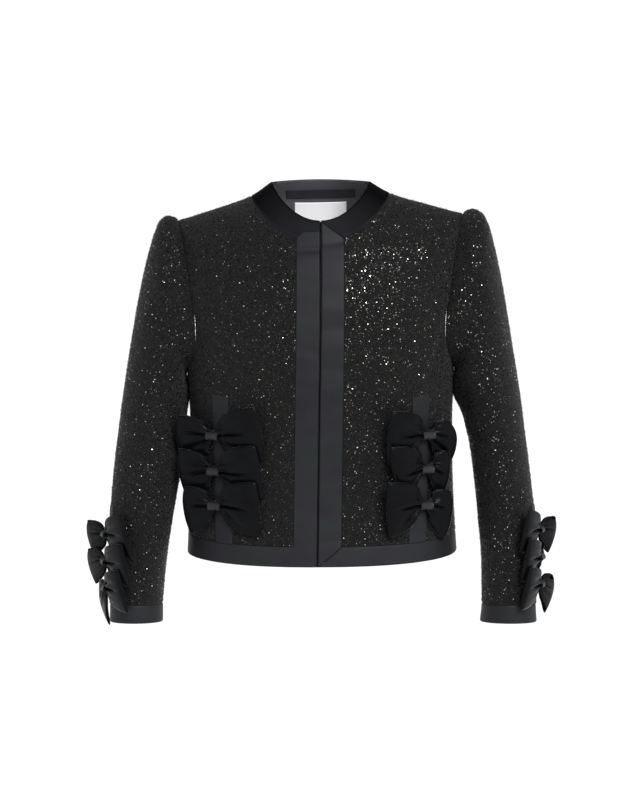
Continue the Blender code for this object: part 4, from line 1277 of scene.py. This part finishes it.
def build_bow(bow, number, satin):
    """A flattened loop of wide ribbon with a wing on each side of its knot."""
    size = BOW_SIZES[bow.on]
    seat, inward, up, out = bow_frame(bow)
    knot_middle = seat + out * (size.knot_depth + SEAM_GAP)
    clear = SEAM_GAP + BOW_LEAN * size.half_height + size.depth * (1 - BOW_TAPER)
    draw_in = clear - size.knot_depth - SEAM_GAP
    wing, face, station = (values[:, None] for values in ribbon_stops())
    rise = np.linspace(-1, 1, RIBBON_COLUMNS)[None, :]
    rise = rise * (1 - COLUMN_CROWDING + COLUMN_CROWDING * rise ** 2)
    inner = wing > 0
    reach = np.where(inner, bow.inner_reach, bow.outer_reach)
    lift = np.tan(np.radians(np.where(inner, bow.inner_lift, bow.outer_lift)))
    climb = np.tan(np.radians(np.where(inner, bow.inner_climb, bow.outer_climb)))
    slant = np.where(inner, bow.inner_slant, 0.0)
    rounding = np.where(inner, INNER_ROUND, bow.outer_round) * np.abs(rise) ** ROUND_POWER
    half_height = np.where(inner, size.half_height, size.outer_height)
    share = between(WING, station, "reach")
    free = share * (reach - size.knot_half_width)
    run = np.clip(between(WING, station, "in_knot"), 0, 1) * size.knot_half_width + free
    height = rise * half_height * between(WING, station, "height")
    height = height * np.where(inner | (rise > 0), 1.0, 1 + OUTER_HANG)
    depth = face * size.depth * np.clip(between(WING, station, "depth"), 0, None)
    depth = depth * (1 - BOW_TAPER * np.abs(rise) ** TAPER_POWER)
    pleats = wing_pleats(bow, number, wing, rise, share) * between(WING, station, "valley")
    depth = depth - np.where(face > 0, pleats, 0.0)
    off_cloth = draw_in * (1 - between(WING, station, "sink")) + BOW_LEAN * height + free * lift
    across = wing * (run - slant * share ** 2 * rise - rounding * reach * share ** 2)
    point = (knot_middle + inward * across[..., None] + up * (height + free * climb)[..., None]
             + out * (off_cloth + depth)[..., None])
    ahead, behind = np.roll(point, -1, axis=0), np.roll(point, 1, axis=0)
    normal = unit(np.cross(ahead - behind, np.gradient(point, axis=1)) * -SIDES[bow.side])
    cloth(f"satin_{bow.name}", [bow.name], [satin, satin], point, normal, RIBBON_WALL,
          0.0, (0.0, TRIM_EDGE[1]), closed_rows=True, turned=bow.side == "left")


def build_knot(bow, satin):
    """The short piece of ribbon wrapped round the middle of a bow."""
    size = BOW_SIZES[bow.on]
    seat, inward, up, out = bow_frame(bow)
    middle = seat + out * (size.knot_depth + SEAM_GAP)
    half_width = size.knot_half_width * KNOT_WIDER
    across = half_width * (2 * shares(KNOT_GRID[0], 4 * half_width)[:, None] - 1)
    turn = 2 * math.pi * np.arange(KNOT_GRID[1])[None, :] / KNOT_GRID[1]
    deep = signed_power(np.cos(turn), KNOT_SQUARE) * size.knot_depth
    high = signed_power(np.sin(turn), KNOT_SQUARE) * size.knot_half_height * KNOT_SHORTER
    deep = deep - np.where(deep > 0, KNOT_SLOPE * np.clip(high, 0, None), 0.0)
    waist = 1 - KNOT_WAIST * (1 - (across / half_width) ** 2)
    ribs = KNOT_RIB * np.cos(across / half_width * GATHER_FOLDS / 2 * math.pi)
    across, deep, high = np.broadcast_arrays(across, deep * waist, high * waist)
    point = middle + inward * across[..., None] + up * high[..., None] + out * deep[..., None]
    along = np.roll(point, -1, axis=1) - np.roll(point, 1, axis=1)
    normal = unit(np.cross(np.gradient(point, axis=0), along) * SIDES[bow.side])
    knot = bow.name.replace("bow", "knot")
    cloth(f"satin_{knot}", [knot], [satin, satin], point, normal, RIBBON_WALL,
          0.0, TRIM_EDGE, closed_columns=True, relief=ribs + np.zeros_like(deep),
          turned=bow.side == "left")


# Sequins

def sequin_spots(surface, rows, columns):
    """Shares across and down of sequins, spread evenly over the cloth and moved a little at random."""
    down, across = (np.arange(rows)[:, None] + 0.5) / rows, (np.arange(columns)[None, :] + 0.5) / columns
    down, across = (values.ravel() for values in np.broadcast_arrays(down, across))
    down = down + CHANCE.uniform(-0.5, 0.5, down.size) / rows
    across = across + CHANCE.uniform(-0.5, 0.5, across.size) / columns
    down = np.clip(down, SEQUIN_EDGE_SHARE, 1 - SEQUIN_EDGE_SHARE)
    across = np.clip(across, SEQUIN_EDGE_SHARE, 1 - SEQUIN_EDGE_SHARE)
    here = surface(across, down)[0]
    below = surface(across, down + AREA_STEP)[0] - here
    beside = surface(across + AREA_STEP, down)[0] - here
    patch = np.linalg.norm(np.cross(below, beside), axis=-1) / AREA_STEP ** 2
    wanted = patch / (rows * columns) / SEQUIN_PITCH ** 2
    kept = CHANCE.random(down.size) < wanted
    return across[kept], down[kept]


def sequins(name, foil, painted_glint, point, normal):
    """Small discs that lie on the cloth at these points, each tilted its own way."""
    count = len(point)
    aside = unit(np.cross(normal, CHANCE.normal(size=(count, 3))))
    tilt = np.radians(np.abs(CHANCE.normal(0, SEQUIN_TILT, count)).clip(0, SEQUIN_MOST_TILT))[:, None]
    axis = normal * np.cos(tilt) + aside * np.sin(tilt)
    first = unit(np.cross(axis, aside))
    second = np.cross(axis, first)
    turn = 2 * math.pi * np.arange(SEQUIN_CORNERS) / SEQUIN_CORNERS
    radius = SEQUIN_RADIUS * CHANCE.uniform(*SEQUIN_SIZES, count)[:, None, None]
    corners = first[:, None] * np.cos(turn)[None, :, None] + second[:, None] * np.sin(turn)[None, :, None]
    centre = (point + normal * SEQUIN_LIFT)[:, None]
    faces = np.arange(count * SEQUIN_CORNERS).reshape(count, SEQUIN_CORNERS)
    made = mesh_object(name, (centre + corners * radius).reshape(-1, 3), faces, SEQUIN_CORNERS, [foil],
                       smooth=False)
    pale = np.array([kind.share for kind in SEQUIN_KINDS[:2]])
    # Pale sequins are picked more often where painted_glint is high: painted highlights in the foil
    # colours
    chance = CHANCE.random(count) / np.maximum(painted_glint, PAINTED_GLINT_LEAST)
    rest = CHANCE.random(count) < SEQUIN_KINDS[2].share
    kind = np.where(chance < pale[0], 0, np.where(chance < pale.sum(), 1, np.where(rest, 2, 3)))
    table = np.array([kind[1:] for kind in SEQUIN_KINDS])[kind]
    tone = table[:, :1] + (table[:, 1:2] - table[:, :1]) * CHANCE.random((count, 1))
    colour = np.concatenate([tone * table[:, 2:], np.ones((count, 1))], 1)
    layer = made.data.color_attributes.new("foil", "FLOAT_COLOR", "CORNER")
    layer.data.foreach_set("color", np.repeat(colour, SEQUIN_CORNERS, axis=0).astype(np.float32).ravel())
    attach(made, "root")


def build_sequins(foil):
    """Sequins on the fronts, the back and the sleeves, left out under the satin strips."""
    for side in SIDES:
        across, down = sequin_spots(front_cloth(side), *FRONT_SPOTS)
        place = panel_place(down)
        point, normal = front_cloth(side)(across, down)
        strip = torso_point(*front_strip_spot(side, place))
        covered = np.abs(point[:, 0] - strip[:, 0]) < FRONT_STRIP_HALF + SEQUIN_RADIUS
        seen = ~(covered & (place > front_strip_top(side)))
        seen &= (across < FRONT_BARE) | (place > UNDERARM)
        # Painted highlights and shade: more pale sequins near the middle of the fronts, fewer low down
        fade = np.exp(-(np.abs(point[:, 0]) / PAINTED_GLINT_FADE_X) ** 2)
        painted_glint = PAINTED_GLINT[f"front_{side}"] * (PAINTED_GLINT_EVEN + PAINTED_GLINT_MIDDLE * fade)
        painted_glint = painted_glint * np.where(-point[:, 2] > PAINTED_GLINT_LOW_DEPTH, PAINTED_GLINT_LOW_SHARE, 1.0)
        sequins(f"sequins_front_{side}", foil, painted_glint[seen], point[seen], normal[seen])
    point, normal = back_cloth(*sequin_spots(back_cloth, *BACK_SPOTS))
    sequins("sequins_back", foil, PAINTED_GLINT["back"], point, normal)
    for side in SIDES:
        def surface(across, down):
            return sleeve_cloth(side, 360 * across, sleeve_place(down))

        across, down = sequin_spots(surface, *SLEEVE_SPOTS)
        covered = np.abs(360 * across - SLEEVE_STRIP_TURN) < SLEEVE_STRIP_HALF + SEQUIN_BARE_TURN
        seen = ~(covered & (sleeve_place(down) > sleeve_strip_top(side))) & (down > SLEEVE_BARE)
        point, normal = surface(across[seen], down[seen])
        # Painted highlight: a line of more pale sequins down the left sleeve
        turn, width, strength = PAINTED_HIGHLIGHT_LINE
        line = 1 + strength * np.exp(-((360 * across[seen] - turn) / width) ** 2)
        painted_glint = PAINTED_GLINT[f"sleeve_{side}"] * (line if side == "left" else 1.0)
        sequins(f"sequins_sleeve_{side}", foil, painted_glint, point, normal)


# Floor, light and camera

def build_studio():
    """A white surround, a pale floor, soft lights and the camera."""
    scene = bpy.context.scene
    scene.view_settings.view_transform = "Standard"
    world = bpy.data.worlds.new("surround")
    world.use_nodes = True
    nodes, links = world.node_tree.nodes, world.node_tree.links
    direction = nodes.new("ShaderNodeTexCoord").outputs["Generated"]
    parts = nodes.new("ShaderNodeSeparateXYZ")
    links.new(direction, parts.inputs["Vector"])
    sky = ramp(nodes, links, parts.outputs["Z"], SKY_STOPS)
    links.new(sky, nodes["Background"].inputs["Color"])
    nodes["Background"].inputs["Strength"].default_value = SKY_STRENGTH
    scene.world = world
    floor_z = cad_box[0].z - FLOOR_DROP
    corners = [(x, y, floor_z) for x, y in ((-1, -1), (1, -1), (1, 1), (-1, 1))]
    corners = [(x * FLOOR_HALF, y * FLOOR_HALF, z) for x, y, z in corners]
    mesh = bpy.data.meshes.new("floor")
    mesh.from_pydata(corners, [], [(0, 1, 2, 3)])
    floor = bpy.data.objects.new("floor", mesh)
    scene.collection.objects.link(floor)
    pale = bpy.data.materials.new("pale_floor")
    pale.use_nodes = True
    shader = pale.node_tree.nodes["Principled BSDF"]
    shader.inputs["Base Color"].default_value = FLOOR_COLOUR
    shader.inputs["Roughness"].default_value = FLOOR_ROUGHNESS
    mesh.materials.append(pale)
    target = Vector(CAMERA_TARGET)
    sun = bpy.data.lights.new("key", "SUN")
    sun.energy = SUN_STRENGTH
    sun.angle = math.radians(SUN_SPREAD)
    key = bpy.data.objects.new("key", sun)
    key.rotation_euler = Vector(SUN_FROM).to_track_quat("Z", "Y").to_euler()
    scene.collection.objects.link(key)
    elevation = math.radians(CAMERA_ELEVATION)
    data = bpy.data.cameras.new("camera")
    data.sensor_width = SENSOR
    data.lens = SENSOR / 2 * CAMERA_DISTANCE / FRAME_HALF_HEIGHT
    data.clip_end = VIEW_END
    camera = bpy.data.objects.new("camera", data)
    back = Vector((0, -math.cos(elevation), math.sin(elevation)))
    camera.location = target + back * CAMERA_DISTANCE
    camera.rotation_euler = (-back).to_track_quat("-Z", "Y").to_euler()
    scene.collection.objects.link(camera)
    scene.camera = camera


CHANCE = np.random.default_rng(SEQUIN_SEED)
tweed = tweed_material()
satin = satin_material("black_satin")
neck_satin = satin_material("neck_satin")
bow_satin = satin_material("bow_satin")
# The loop and knot satins are lighter copies of other satins: painted light
loop_satin = satin_material("loop_satin")
knot_satin = satin_material("knot_satin")
lining = satin_material("grey_lining")
build_torso(tweed, lining)
build_front_bands(satin, lining)
build_neck_band(neck_satin, lining)
build_hem_bands(satin, lining)
build_inside_neck(lining, loop_satin, label_material())
build_sleeves(tweed, satin, lining)
build_strips(satin)
for number, bow in enumerate(BOWS):
    build_bow(bow, number, bow_satin)
    build_knot(bow, knot_satin)
build_sequins(sequin_material())
build_studio()
